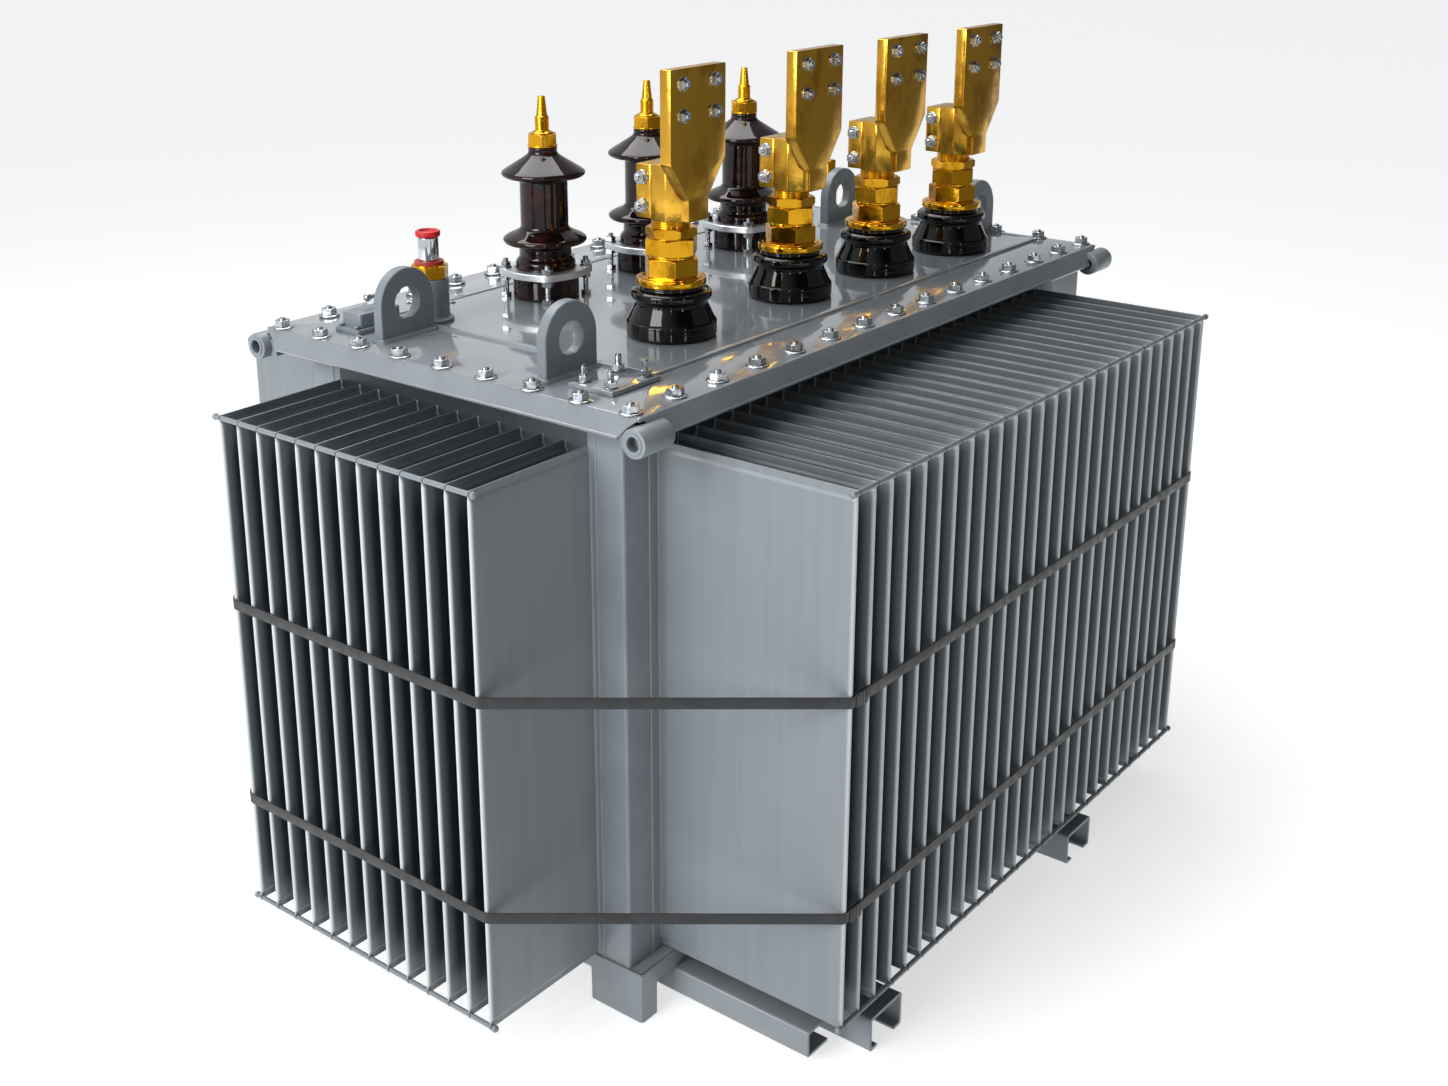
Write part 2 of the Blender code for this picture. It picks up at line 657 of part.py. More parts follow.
def hv_clamp_ring(index, x, y):
    """Make the four-cornered clamp ring with its standing studs and nuts."""
    seat = PANEL_TOP + GAP
    outline = []
    for quarter in range(4):
        corner = math.radians(45 + 90 * quarter)
        side = corner + math.radians(45)
        outline.append((RING_CORNER * math.cos(corner), RING_CORNER * math.sin(corner)))
        outline.append((RING_SIDE * math.cos(side), RING_SIDE * math.sin(side)))
    hole = arc((0.0, 0.0), 0.0578, 0, 360, 16)[:-1]
    name = f"hv_clamp_ring_{index}"
    middle = seat + HV_RING_BOTTOM + HV_RING_THICKNESS / 2
    ring = plate(name, [outline, hole], HV_RING_THICKNESS, "cast_aluminium", (x, y, middle))
    places = []
    for quarter in range(4):
        angle = math.radians(45 + 90 * quarter)
        places.append((x + RING_STUD_CIRCLE * math.cos(angle),
                       y + RING_STUD_CIRCLE * math.sin(angle)))
    leg_top = HV_RING_BOTTOM + HV_RING_THICKNESS + 0.016
    legs = tool_of_rods(f"{name}_legs", [(u, v, seat + leg_top / 2) for u, v in places],
                        0.0055, leg_top, sides=6)
    boolean(ring, legs, "UNION")
    nut_low, nut_high = HV_RING_BOTTOM - 0.010, HV_RING_BOTTOM + HV_RING_THICKNESS + 0.011
    nuts = tool_of_rods(f"{name}_nuts",
                        [(u, v, seat + (nut_low + nut_high) / 2) for u, v in places],
                        0.0105, nut_high - nut_low, sides=6)
    boolean(ring, nuts, "UNION")


def hv_terminal(index, x, y):
    """Make the high-voltage stud with its hex cap and stepped, pointed tip."""
    seat = PANEL_TOP + GAP
    base = HV_TOP + GAP
    name = f"hv_terminal_{index}"
    bm = bmesh.new()
    add_rod(bm, (0, 0, (base + 0.299) / 2), 0.0285, 0.299 - base, sides=6, turn=0.2)
    terminal = add_mesh_object(name, mesh_from(bm, name), "brass", (x, y, seat))
    stack = (
        ("stud", HV_STUD, HV_STUD, -0.090, 0.290),
        ("collar", 0.0185, 0.0150, 0.298, 0.304),
        ("barrel", 0.0127, 0.0127, 0.303, 0.329),
        ("tip", 0.0127, 0.0062, 0.328, HV_TIP),
    )
    for label, low_radius, high_radius, bottom, top in stack:
        bm = bmesh.new()
        add_rod(bm, (0, 0, (bottom + top) / 2), low_radius, top - bottom, sides=12,
                top_radius=high_radius)
        tool = add_mesh_object(f"{name}_{label}", mesh_from(bm, label), place=(x, y, seat))
        boolean(terminal, tool, "UNION")


def hv_bushings():
    """Make the three high-voltage bushings."""
    for index, (x, y) in enumerate(HV_PLACES, start=1):
        turned(f"hv_insulator_{index}", HV_INSULATOR, "brown_glaze",
               (x, y, PANEL_TOP + GAP), closed=True)
        hv_clamp_ring(index, x, y)
        hv_terminal(index, x, y)


# ---------------------------------------------------------------- lid fittings
def filler_and_relief_valve():
    """Make the filler pipe, its collared brass union, the chromed valve tube and red cap."""
    x, y = FILLER
    seat = seat_height(x, y)
    pipe_top, union_top, collar_top, tube_top = 0.0760, 0.0990, 0.1070, 0.1480
    turned("filler_pipe", [
        (0.0330, pipe_top), (0.0330, 0.0060), (0.0400, 0.0060), (0.0400, 0.0),
        (0.0270, 0.0), (0.0270, pipe_top),
    ], "painted_steel", (x, y, seat), closed=True)

    bm = bmesh.new()
    bottom = pipe_top + GAP
    add_rod(bm, (0, 0, (bottom + union_top) / 2), 0.0320, union_top - bottom, sides=6, turn=0.1)
    name = "filler_union_nut"
    union = add_mesh_object(name, mesh_from(bm, name), "brass", (x, y, seat))
    collar_low, tube_radius, tube_bore = union_top - 0.001, 0.0180, 0.0140
    collar = tool_of_rods("union_collar", [(x, y, seat + (collar_low + collar_top) / 2)],
                          0.0250, collar_top - collar_low, sides=16)
    boolean(union, collar, "UNION")
    socket = tool_of_rods("union_socket", [(x, y, seat + union_top + CUT_CLEARANCE / 2)],
                          tube_radius + GAP, CUT_CLEARANCE)
    boolean(union, socket, "DIFFERENCE")
    bore = tool_of_rods("union_bore", [(x, y, seat + union_top)], tube_bore, CUT_CLEARANCE)
    boolean(union, bore, "DIFFERENCE")

    foot = union_top + GAP
    turned("relief_valve_tube", [
        (tube_radius, tube_top), (tube_radius, foot), (tube_bore, foot), (tube_bore, tube_top),
    ], "chrome", (x, y, seat), closed=True)
    cap = tube_top + GAP
    turned("relief_valve_cap", [
        (0.0, 0.0060), (0.0110, 0.0060), (0.0140, 0.0110),
        (0.0200, 0.0110), (0.0220, 0.0085), (0.0220, 0.0030), (0.0200, 0.0),
        (0.0050, 0.0), (0.0050, -0.0300), (0.0, -0.0300),
    ], "red_plastic", (x, y, seat + cap))


def thermometer_pocket():
    """Make the brass pocket that takes the oil thermometer."""
    x, y = POCKET
    name = "thermometer_pocket"
    bm = bmesh.new()
    add_rod(bm, (0, 0, 0.030), 0.0190, 0.060, sides=6)
    pocket = add_mesh_object(name, mesh_from(bm, name), "brass", (x, y, seat_height(x, y)))
    for label, radius, bottom, top in (("stem", 0.0065, -0.120, 0.010),
                                       ("head", 0.0130, 0.059, 0.128)):
        bm = bmesh.new()
        add_rod(bm, (0, 0, (bottom + top) / 2), radius, top - bottom)
        tool = add_mesh_object(f"{name}_{label}", mesh_from(bm, label),
                               place=(x, y, seat_height(x, y)))
        boolean(pocket, tool, "UNION")


def tap_changer():
    """Make the tap changer's housing and the handle that turns in it."""
    x, y = TAP_HOUSING
    seat = LID_TOP + GAP
    axis = Vector((*TAP_AXIS, seat))
    housing = box("tap_changer_housing", (x - 0.055, y - 0.030, seat),
                  (x + 0.055, y + 0.030, seat + 0.034), "painted_steel")
    bore = tool_of_rods("tap_housing_bore", [tuple(axis)], 0.0075, 0.2)
    boolean(housing, bore, "DIFFERENCE")

    name = "tap_changer_handle"
    bm = bmesh.new()
    hub_bottom, hub_top = 0.034 + GAP, 0.062
    add_rod(bm, (0, 0, (hub_bottom + hub_top) / 2), 0.0125, hub_top - hub_bottom)
    handle = add_mesh_object(name, mesh_from(bm, name), "zinc_steel", tuple(axis))
    bm = bmesh.new()
    add_rod(bm, (0, 0, -0.030), 0.0065, 0.140, sides=8)
    shaft = add_mesh_object("tap_shaft", mesh_from(bm, "tap_shaft"), place=tuple(axis))
    boolean(handle, shaft, "UNION")
    bm = bmesh.new()
    add_rod(bm, (0, 0, 0.054), 0.0050, 0.072, axis="X", sides=8)
    bar = add_mesh_object("tap_bar", mesh_from(bm, "tap_bar"), place=tuple(axis))
    boolean(handle, bar, "UNION")


def blanking_plate():
    """Make the small plate near the front corner, with its studs and nuts."""
    seat = LID_TOP + GAP
    thickness = 0.008
    (x0, x1), (y0, y1) = BLANKING_X, BLANKING_Y
    cover = box("blanking_plate", (x0, y0, seat), (x1, y1, seat + thickness), "painted_steel")
    inset = 0.018
    places = [(x, y) for x in (x0 + inset, x1 - inset) for y in (y0 + inset, y1 - inset)]
    bottom = seat + thickness / 2
    for label, radius, top, sides in (("nuts", 0.0100, 0.017, 6), ("studs", 0.0050, 0.027, 8)):
        height = seat + top - bottom
        rods = tool_of_rods(f"blanking_{label}", [(x, y, bottom + height / 2) for x, y in places],
                            radius, height, sides=sides)
        boolean(cover, rods, "UNION")


def straps():
    """Make the two flat bands drawn tight around the fin tips."""
    long_end = FIN_PITCH * (LONG_FINS - 1) / 2 + FIN_THICKNESS / 2
    short_end = FIN_PITCH * (SHORT_FINS - 1) / 2 + FIN_THICKNESS / 2
    rear = [(FIN_TIP_X, short_end), (long_end, REAR_TIP_Y)]
    front = [(-FIN_TIP_X, -short_end), (-long_end, -FRONT_TIP_Y)]
    loop = rear + [(-x, y) for x, y in reversed(rear)]
    loop += front + [(-x, y) for x, y in reversed(front)]
    for name, height in STRAP_HEIGHTS.items():
        bm = bmesh.new()
        ring = [bm.verts.new((x, y, height - STRAP_WIDTH / 2)) for x, y in loop]
        edges = [bm.edges.new((ring[i], ring[(i + 1) % len(ring)])) for i in range(len(ring))]
        made = bmesh.ops.extrude_edge_only(bm, edges=edges)["geom"]
        upper = [part for part in made if isinstance(part, bmesh.types.BMVert)]
        bmesh.ops.translate(bm, verts=upper, vec=(0.0, 0.0, STRAP_WIDTH))
        bmesh.ops.recalc_face_normals(bm, faces=bm.faces)
        first = next(iter(bm.faces))
        if first.normal.dot(first.calc_center_median() * Vector((1, 1, 0))) < 0:
            bmesh.ops.reverse_faces(bm, faces=bm.faces)
        band = add_mesh_object(name, mesh_from(bm, name), "strap_plastic")
        offset = band.modifiers.new("clear_of_fins", "SOLIDIFY")
        offset.thickness = STRAP_THICKNESS
        offset.offset = 1.0 + 2.0 * GAP / STRAP_THICKNESS
        offset.use_even_offset = True


# ---------------------------------------------------------------- inside the tank
def core():
    """Make the laminated core with three limbs and two yokes."""
    half_x = LIMB_PITCH + LIMB_X / 2
    item = box("core", (-half_x, -LIMB_Y / 2, CORE_BOTTOM), (half_x, LIMB_Y / 2, CORE_TOP),
               "core_steel")
    low, high = CORE_BOTTOM + YOKE_HEIGHT, CORE_TOP - YOKE_HEIGHT
    windows = tool_of_boxes("core_windows", [
        ((centre - (LIMB_PITCH - LIMB_X) / 2, -1.0, low),
         (centre + (LIMB_PITCH - LIMB_X) / 2, 1.0, high))
        for centre in (-LIMB_PITCH / 2, LIMB_PITCH / 2)
    ])
    boolean(item, windows, "DIFFERENCE")


def core_frame():
    """Make the clamping frame: yoke plates, end ties and feet joined into one weldment."""
    near, far = LIMB_Y / 2 + 0.001, LIMB_Y / 2 + 0.011
    reach = LIMB_PITCH + HV_COIL_RADIUS + 0.022
    inset = 0.020
    bars = ((CORE_BOTTOM + inset, CORE_BOTTOM + YOKE_HEIGHT - inset),
            (CORE_TOP - YOKE_HEIGHT + inset, CORE_TOP - inset))
    frame = box("core_frame", (reach - 0.012, -far, BASE_TOP + GAP),
                (reach, far, CORE_TOP + 0.020), "painted_steel")
    other = box("frame_end", (-reach, -far, BASE_TOP + GAP),
                (-reach + 0.012, far, CORE_TOP + 0.020))
    for sy in (-1, 1):
        for low, high in bars:
            level = "lower" if low < 0.4 else "upper"
            tool = box(f"frame_{level}_{sy}", (-reach + 0.001, min(sy * near, sy * far), low),
                       (reach - 0.001, max(sy * near, sy * far), high))
            boolean(frame, tool, "UNION")
    boolean(frame, other, "UNION")


def coils():
    """Make the inner and outer winding of each limb."""
    low = CORE_BOTTOM + YOKE_HEIGHT + COIL_CLEARANCE
    high = CORE_TOP - YOKE_HEIGHT - COIL_CLEARANCE
    for index, x in enumerate((-LIMB_PITCH, 0.0, LIMB_PITCH), start=1):
        for kind, outer, inner, finish in (("lv_coil", 0.146, 0.116, "enamelled_copper"),
                                           ("hv_coil", HV_COIL_RADIUS, 0.158, "pressboard")):
            turned(f"{kind}_{index}", [(outer, high), (outer, low), (inner, low), (inner, high)],
                   finish, (x, 0.0, 0.0), sides=16, closed=True)


def build():
    """Make every sub-part, and move the whole so that its outline is centred."""
    tank_base()
    corner_posts()
    tank_walls()
    skid_channels()
    cross_rails()
    tank_flange()
    lid_gasket()
    lid()
    lifting_lugs()
    lv_bushings()
    hv_bushings()
    filler_and_relief_valve()
    thermometer_pocket()
    tap_changer()
    blanking_plate()
    straps()
    core()
    core_frame()
    coils()
    for item in bpy.data.objects:
        item.location.y += MIDDLE_Y
    for item in PARTS.objects:
        if item.type == "MESH" and len(item.data.polygons) > 0:
            smooth(item)


build()
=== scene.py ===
"""Looks of an oil-filled distribution transformer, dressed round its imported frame.

Each sub-assembly is a class that works out its surfaces as whole arrays and gives them a
finish.  Metres, +Z up.  The low-voltage bushings stand on the -Y side, the high-voltage ones
on the +Y side, and the filler is at the -X end.
"""

from __future__ import annotations

import logging
import math
from dataclasses import dataclass
from enum import Enum
from typing import Any, Sequence

import bpy
import numpy as np
from mathutils import Matrix, Vector
from numpy.typing import NDArray

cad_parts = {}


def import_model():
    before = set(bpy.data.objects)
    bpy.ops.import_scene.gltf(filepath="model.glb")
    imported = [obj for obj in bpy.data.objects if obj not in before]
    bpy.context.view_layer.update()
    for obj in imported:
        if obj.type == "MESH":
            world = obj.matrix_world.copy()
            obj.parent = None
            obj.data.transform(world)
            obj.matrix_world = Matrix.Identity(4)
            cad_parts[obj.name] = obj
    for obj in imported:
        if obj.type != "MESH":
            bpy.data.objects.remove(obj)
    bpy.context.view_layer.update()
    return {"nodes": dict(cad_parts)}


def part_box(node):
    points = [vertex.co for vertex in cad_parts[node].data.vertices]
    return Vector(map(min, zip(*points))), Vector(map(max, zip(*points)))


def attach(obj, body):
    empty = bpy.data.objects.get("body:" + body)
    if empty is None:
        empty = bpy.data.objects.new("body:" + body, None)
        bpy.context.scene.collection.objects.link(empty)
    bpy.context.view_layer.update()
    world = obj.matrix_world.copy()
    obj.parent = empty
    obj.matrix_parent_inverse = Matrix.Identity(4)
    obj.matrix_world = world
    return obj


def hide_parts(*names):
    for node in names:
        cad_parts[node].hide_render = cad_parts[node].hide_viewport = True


Array = NDArray[np.float64]
Rows = NDArray[np.int64]
Place = tuple[float, float, float]
REPORT = logging.getLogger("transformer")
GAP = 0.0003
BEVEL_ANGLE = math.radians(40.0)


class Slot(Enum):
    """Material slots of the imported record."""

    TANK = "tank_paint"
    FIN = "fin_paint"
    LID = "lid_paint"
    GASKET = "gasket_rubber"
    LV_GLAZE = "lv_glaze"
    HV_GLAZE = "hv_glaze"
    BRASS = "brass"
    ALUMINIUM = "cast_aluminium"
    CHROME = "chrome"
    RED = "red_plastic"
    ZINC = "zinc_steel"
    STRAP = "strap_plastic"
    CORE = "core_steel"
    COPPER = "winding_copper"
    PAPER = "winding_paper"


def tank_middle() -> float:
    """Y of the tank's own middle, which is the middle of the lid's box."""
    low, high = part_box("lid")
    return (low.y + high.y) / 2.0


def node_box(name: str) -> tuple[Vector, Vector]:
    """A CAD node's box, with Y measured from the tank's middle."""
    low, high = (Vector(corner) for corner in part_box(name))
    low.y, high.y = low.y - tank_middle(), high.y - tank_middle()
    return low, high


class Body(Enum):
    """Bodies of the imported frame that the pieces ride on."""

    TANK = "transformer"
    HANDLE = "tap_handle"
    CAP = "relief_cap"


# ---------------------------------------------------------------- surfaces
@dataclass
class Shell:
    """One closed surface, or several in one.

    points has one row for each point; each array of faces holds faces that have the same
    number of corners.
    """

    points: Array
    faces: list[Rows]

    def volume(self) -> float:
        """Enclosed volume: the sum of the signed tetrahedra from the origin to each triangle."""
        total = 0.0
        for rows in self.faces:
            first = self.points[rows[:, 0]]
            second, third = self.points[rows[:, 1:-1]], self.points[rows[:, 2:]]
            total += float(np.einsum("ik,ijk->", first, np.cross(second, third))) / 6.0
        return total

    def outward(self) -> Shell:
        """The same shell with its faces turned to point outwards."""
        if self.volume() < 0.0:
            return Shell(self.points, [rows[:, ::-1] for rows in self.faces])
        return self

    def moved(self, x: float, y: float, z: float) -> Shell:
        """The same shell, shifted."""
        return Shell(self.points + np.array([x, y, z]), self.faces)

    def upright(self) -> Shell:
        """The same shell with its height laid along +Y and its Y stood up along +Z."""
        return Shell(self.points[:, [0, 2, 1]], self.faces).outward()

    def aimed(self, direction: Place) -> Shell:
        """The same shell with its own +Z turned to a direction."""
        turn = np.array(Vector(direction).to_track_quat("Z", "Y").to_matrix())
        return Shell(self.points @ turn.T, self.faces)

    def repeated(self, places: Array, angles: Array | float = 0.0) -> Shell:
        """Copies of this shell in one.

        Args:
            places: One row (x, y, z) for each copy.
            angles: The turn of each copy about Z, in radians.

        Returns:
            A shell that holds every copy.
        """
        places = np.asarray(places, float)
        turn = np.broadcast_to(np.asarray(angles, float), len(places))[:, None]
        x, y, z = self.points.T
        copies = np.stack(
            [
                np.cos(turn) * x - np.sin(turn) * y,
                np.sin(turn) * x + np.cos(turn) * y,
                np.broadcast_to(z, (len(places), len(z))),
            ],
            axis=-1,
        )
        step = (np.arange(len(places)) * len(self.points))[:, None, None]
        faces = [(rows + step).reshape(-1, rows.shape[1]) for rows in self.faces]
        return Shell((copies + places[:, None, :]).reshape(-1, 3), faces)


def joined(shells: Sequence[Shell]) -> Shell:
    """One shell that holds all the given ones."""
    starts = np.cumsum([0] + [len(shell.points) for shell in shells])
    faces = [rows + start for shell, start in zip(shells, starts) for rows in shell.faces]
    return Shell(np.vstack([shell.points for shell in shells]), faces)


def loft(rings: Array, wrap: bool = False) -> Shell:
    """Joins closed rings of points into one closed surface.

    Point j of ring i is joined to point j + 1 and to the same two points of ring i + 1.

    Args:
        rings: Array of shape (rings, points in a ring, 3).
        wrap: True joins the last ring to the first; False closes both ends flat.

    Returns:
        The closed shell, facing outwards.
    """
    count, size, _ = rings.shape
    index = np.arange(count * size).reshape(count, size)
    here = index if wrap else index[:-1]
    ahead = np.roll(index, -1, axis=0) if wrap else index[1:]
    corners = [here, np.roll(here, -1, axis=1), np.roll(ahead, -1, axis=1), ahead]
    faces = [np.stack(corners, axis=-1).reshape(-1, 4)]
    if not wrap:
        faces += [index[:1, ::-1], index[-1:]]
    return Shell(rings.reshape(-1, 3), faces).outward()


def circle(sides: int, start: float = 0.0) -> Array:
    """Unit circle: (cos a, sin a) at equal steps of the angle a, starting at start radians."""
    angle = start + np.arange(sides) * (2.0 * np.pi / sides)
    return np.stack([np.cos(angle), np.sin(angle)], axis=-1)


def soften(
    corners: Array, reach: float | Array, steps: int = 3, closed: bool = True
) -> Array:
    """Rounds the corners of a line of straight sides.

    Each corner C gives way to the curve (1-t)^2 A + 2t(1-t) C + t^2 B, where A and B lie on
    its two sides at the given reach, or at 0.45 of a side that is too short.

    Args:
        corners: One row for each corner.
        reach: Distance from a corner at which its curve starts, one for all or one each.
        steps: Straight pieces in each curve.
        closed: Whether the last corner joins the first; an open line keeps its end points.

    Returns:
        The points of the softened line.
    """
    corners = np.asarray(corners, float)
    limit = np.broadcast_to(np.asarray(reach, float), len(corners))[:, None]

    def along(side: Array) -> Array:
        """The step from a corner to where its curve meets a side."""
        length = np.maximum(np.linalg.norm(side, axis=1, keepdims=True), 1e-9)
        return side / length * np.minimum(limit, 0.45 * length)

    start = corners + along(np.roll(corners, 1, axis=0) - corners)
    end = corners + along(np.roll(corners, -1, axis=0) - corners)
    t = np.linspace(0.0, 1.0, steps + 1)[None, :, None]
    curve = (1 - t) ** 2 * start[:, None] + 2 * t * (1 - t) * corners[:, None]
    curve = curve + t**2 * end[:, None]
    if closed:
        return curve.reshape(-1, corners.shape[1])
    inner = curve[1:-1].reshape(-1, corners.shape[1])
    return np.vstack([corners[:1], inner, corners[-1:]])


def drawn_in(outline: Array, insets: Sequence[float]) -> Array:
    """Copies of a closed outline, each drawn in by its own distance.

    Each point moves along (n1 + n2) / (1 + n1.n2), where n1 and n2 are the outward normals of
    its two sides, so that straight sides stay parallel.

    Args:
        outline: Points of an outline that runs anticlockwise.
        insets: Distance for each copy.

    Returns:
        Array of shape (copies, points, 2).
    """
    side = np.roll(outline, -1, axis=0) - outline
    normal = np.stack([side[:, 1], -side[:, 0]], axis=-1)
    normal = normal / np.maximum(np.linalg.norm(normal, axis=1, keepdims=True), 1e-12)
    before = np.roll(normal, 1, axis=0)
    mitre = (before + normal) / (1.0 + np.sum(before * normal, axis=1, keepdims=True))
    return outline[None] - np.asarray(insets, float)[:, None, None] * mitre[None]


def at_heights(outlines: Array, heights: Sequence[float]) -> Array:
    """Rings in space from flat outlines (k, n, 2) and their k heights."""
    level = np.broadcast_to(np.asarray(heights, float)[:, None, None], (*outlines.shape[:2], 1))
    return np.concatenate([outlines, level], axis=-1)


def prism(outline: Array, bottom: float, top: float, edge: float = 0.0008) -> Shell:
    """Upright prism over an anticlockwise outline, with both rims bevelled by edge."""
    rings = drawn_in(outline, (edge, edge * 0.3, 0.0, 0.0, edge * 0.3, edge))
    heights = (bottom, bottom + edge * 0.3, bottom + edge, top - edge, top - edge * 0.3, top)
    return loft(at_heights(rings, heights))


def block(low: Place, high: Place, edge: float = 0.0008, corner: float = 0.0) -> Shell:
    """Box between two corners, bevelled all round, its upright corners rounded by corner."""
    (x0, y0, z0), (x1, y1, z1) = low, high
    outline = np.array([(x0, y0), (x1, y0), (x1, y1), (x0, y1)], float)
    outline = soften(outline, corner if corner else edge, 4 if corner else 2)
    return prism(outline, z0, z1, edge)


def lathe(profile: Array | Sequence[tuple[float, float]], sides: int, wrap: bool = False) -> Shell:
    """Surface of turning: each (radius, height) of the profile becomes a level circle.

    A wrapped profile closes on itself, as a tube's or a washer's does.
    """
    profile = np.asarray(profile, float)
    rings = profile[:, None, :1] * circle(sides)[None]
    return loft(at_heights(rings, profile[:, 1]), wrap)


def tube(outer: float, inner: float, bottom: float, top: float, sides: int = 24) -> Shell:
    """Upright tube or washer with softened rims."""
    section = np.array([(inner, bottom), (outer, bottom), (outer, top), (inner, top)])
    edge = 0.2 * min(outer - inner, top - bottom)
    return lathe(soften(section, edge, 2), sides, wrap=True)


def nut(across: float, bottom: float, top: float, sides: int = 36, turn: float = 0.0) -> Shell:
    """Hexagon nut or head with turned chamfers.

    The side's radius is flat / cos(angle folded into one side).  The faces' radius is at most
    1.03 flat, and the chamfer between the two climbs at 1 in 1.73, so that its lower edge is
    an arc on each side.

    Args:
        across: Distance across the flats.
        bottom: Height of the lower face.
        top: Height of the upper face.
        sides: Points round the nut, a multiple of twelve.
        turn: Turn about Z, in radians.

    Returns:
        The closed shell.
    """
    flat = across / 2.0
    angle = np.arange(sides) * (2.0 * np.pi / sides)
    hexagon = flat / np.cos((angle + np.pi / 6) % (np.pi / 3) - np.pi / 6)
    face = np.minimum(hexagon - 0.0004, 1.03 * flat)
    depth = np.maximum((hexagon - face) / 1.73, 0.0004)
    radius = np.stack([face, hexagon, hexagon, face])
    height = np.stack([0 * depth + bottom, bottom + depth, top - depth, 0 * depth + top])
    rings = radius[..., None] * circle(sides)[None]
    shell = loft(np.concatenate([rings, height[..., None]], axis=-1))
    return shell.repeated(np.zeros((1, 3)), turn)


def pierced(outline: Array, hole: float, bottom: float, top: float, edge: float) -> Shell:
    """Plate with a round hole about the origin.

    Each point of the outline is paired with the hole's point at the same angle, and the
    plate's section, with bevelled rims, runs between the two.
    """
    inner = outline / np.linalg.norm(outline, axis=1, keepdims=True) * hole
    inset = drawn_in(outline, (edge,))[0]
    widened = inner * (1.0 + edge / hole)
    loops = (widened, inset, outline, outline, inset, widened, inner, inner)
    heights = (top, top, top - edge, bottom + edge, bottom, bottom, bottom + edge, top - edge)
    return loft(at_heights(np.stack(loops), heights), wrap=True)


def sweep(path: Array, section: Array, closed: bool = False) -> Shell:
    """Carries a flat section along a level path.

    The section's first number is laid to the right of travel and its second upwards.  At a
    bend, the side direction is (s1 + s2) / (1 + s1.s2), so that the band keeps its width.

    Args:
        path: Points (n, 3) of the path.
        section: Closed outline (m, 2).
        closed: Whether the path runs back to its start.

    Returns:
        The closed shell.
    """
    before, after = np.roll(path, 1, axis=0), np.roll(path, -1, axis=0)
    if not closed:
        before[0] = 2 * path[0] - path[1]
        after[-1] = 2 * path[-1] - path[-2]
    up = np.array([0.0, 0.0, 1.0])
    arrive, leave = np.cross(path - before, up), np.cross(after - path, up)
    arrive = arrive / np.linalg.norm(arrive, axis=1, keepdims=True)
    leave = leave / np.linalg.norm(leave, axis=1, keepdims=True)
    side = (arrive + leave) / (1.0 + np.sum(arrive * leave, axis=1, keepdims=True))
    rings = path[:, None] + side[:, None] * section[None, :, :1] + up * section[None, :, 1:]
    return loft(rings, wrap=closed)


def ball(radius: float, sides: int = 12, levels: int = 7) -> Shell:
    """Sphere: radius times the sine and cosine of the angle from the pole."""
    angle = np.linspace(0.02, np.pi - 0.02, levels)
    return lathe(np.stack([radius * np.sin(angle), radius * np.cos(angle)], axis=-1), sides)


def bolt(across: float, height: float, stud: float, rise: float, washer: float) -> Shell:
    """Washer, hexagon nut and the stud's rounded end, standing on the origin along +Z.

    Args:
        across: Nut size across the flats.
        height: Height of the nut.
        stud: Radius of the stud.
        rise: Height of the stud's end.
        washer: Radius of the washer.

    Returns:
        The three shells in one.
    """
    thick = 0.12 * across
    ring = lathe([(washer * 0.96, 0.0), (washer, thick * 0.5), (washer * 0.94, thick)], 18)
    end = [(stud, thick), (stud, rise - stud * 0.4), (stud * 0.7, rise)]
    return joined([ring, nut(across, thick, thick + height, 24), lathe(end, 10)])


# ---------------------------------------------------------------- finishes
def linear(colour: str) -> tuple[float, float, float, float]:
    """Turns an sRGB hex colour such as #7f868b to linear light, with full alpha."""
    value = np.array([int(colour[i : i + 2], 16) for i in (1, 3, 5)]) / 255.0
    value = np.where(value <= 0.04045, value / 12.92, ((value + 0.055) / 1.055) ** 2.4)
    return (float(value[0]), float(value[1]), float(value[2]), 1.0)


def add_node(
    tree: bpy.types.NodeTree,
    kind: str,
    settings: dict[str, Any] | None = None,
    values: dict[Any, Any] | None = None,
    links: dict[Any, bpy.types.NodeSocket] | None = None,
) -> bpy.types.Node:
    """Adds a node.

    Args:
        tree: The tree that the node joins.
        kind: The node's type name.
        settings: Values of the node's own properties.
        values: Default values, by input socket.
        links: Sockets that feed the inputs, by input socket.

    Returns:
        The new node.
    """
    node = tree.nodes.new(kind)
    for name, value in (settings or {}).items():
        setattr(node, name, value)
    for name, value in (values or {}).items():
        node.inputs[name].default_value = value
    for name, source in (links or {}).items():
        tree.links.new(source, node.inputs[name])
    return node


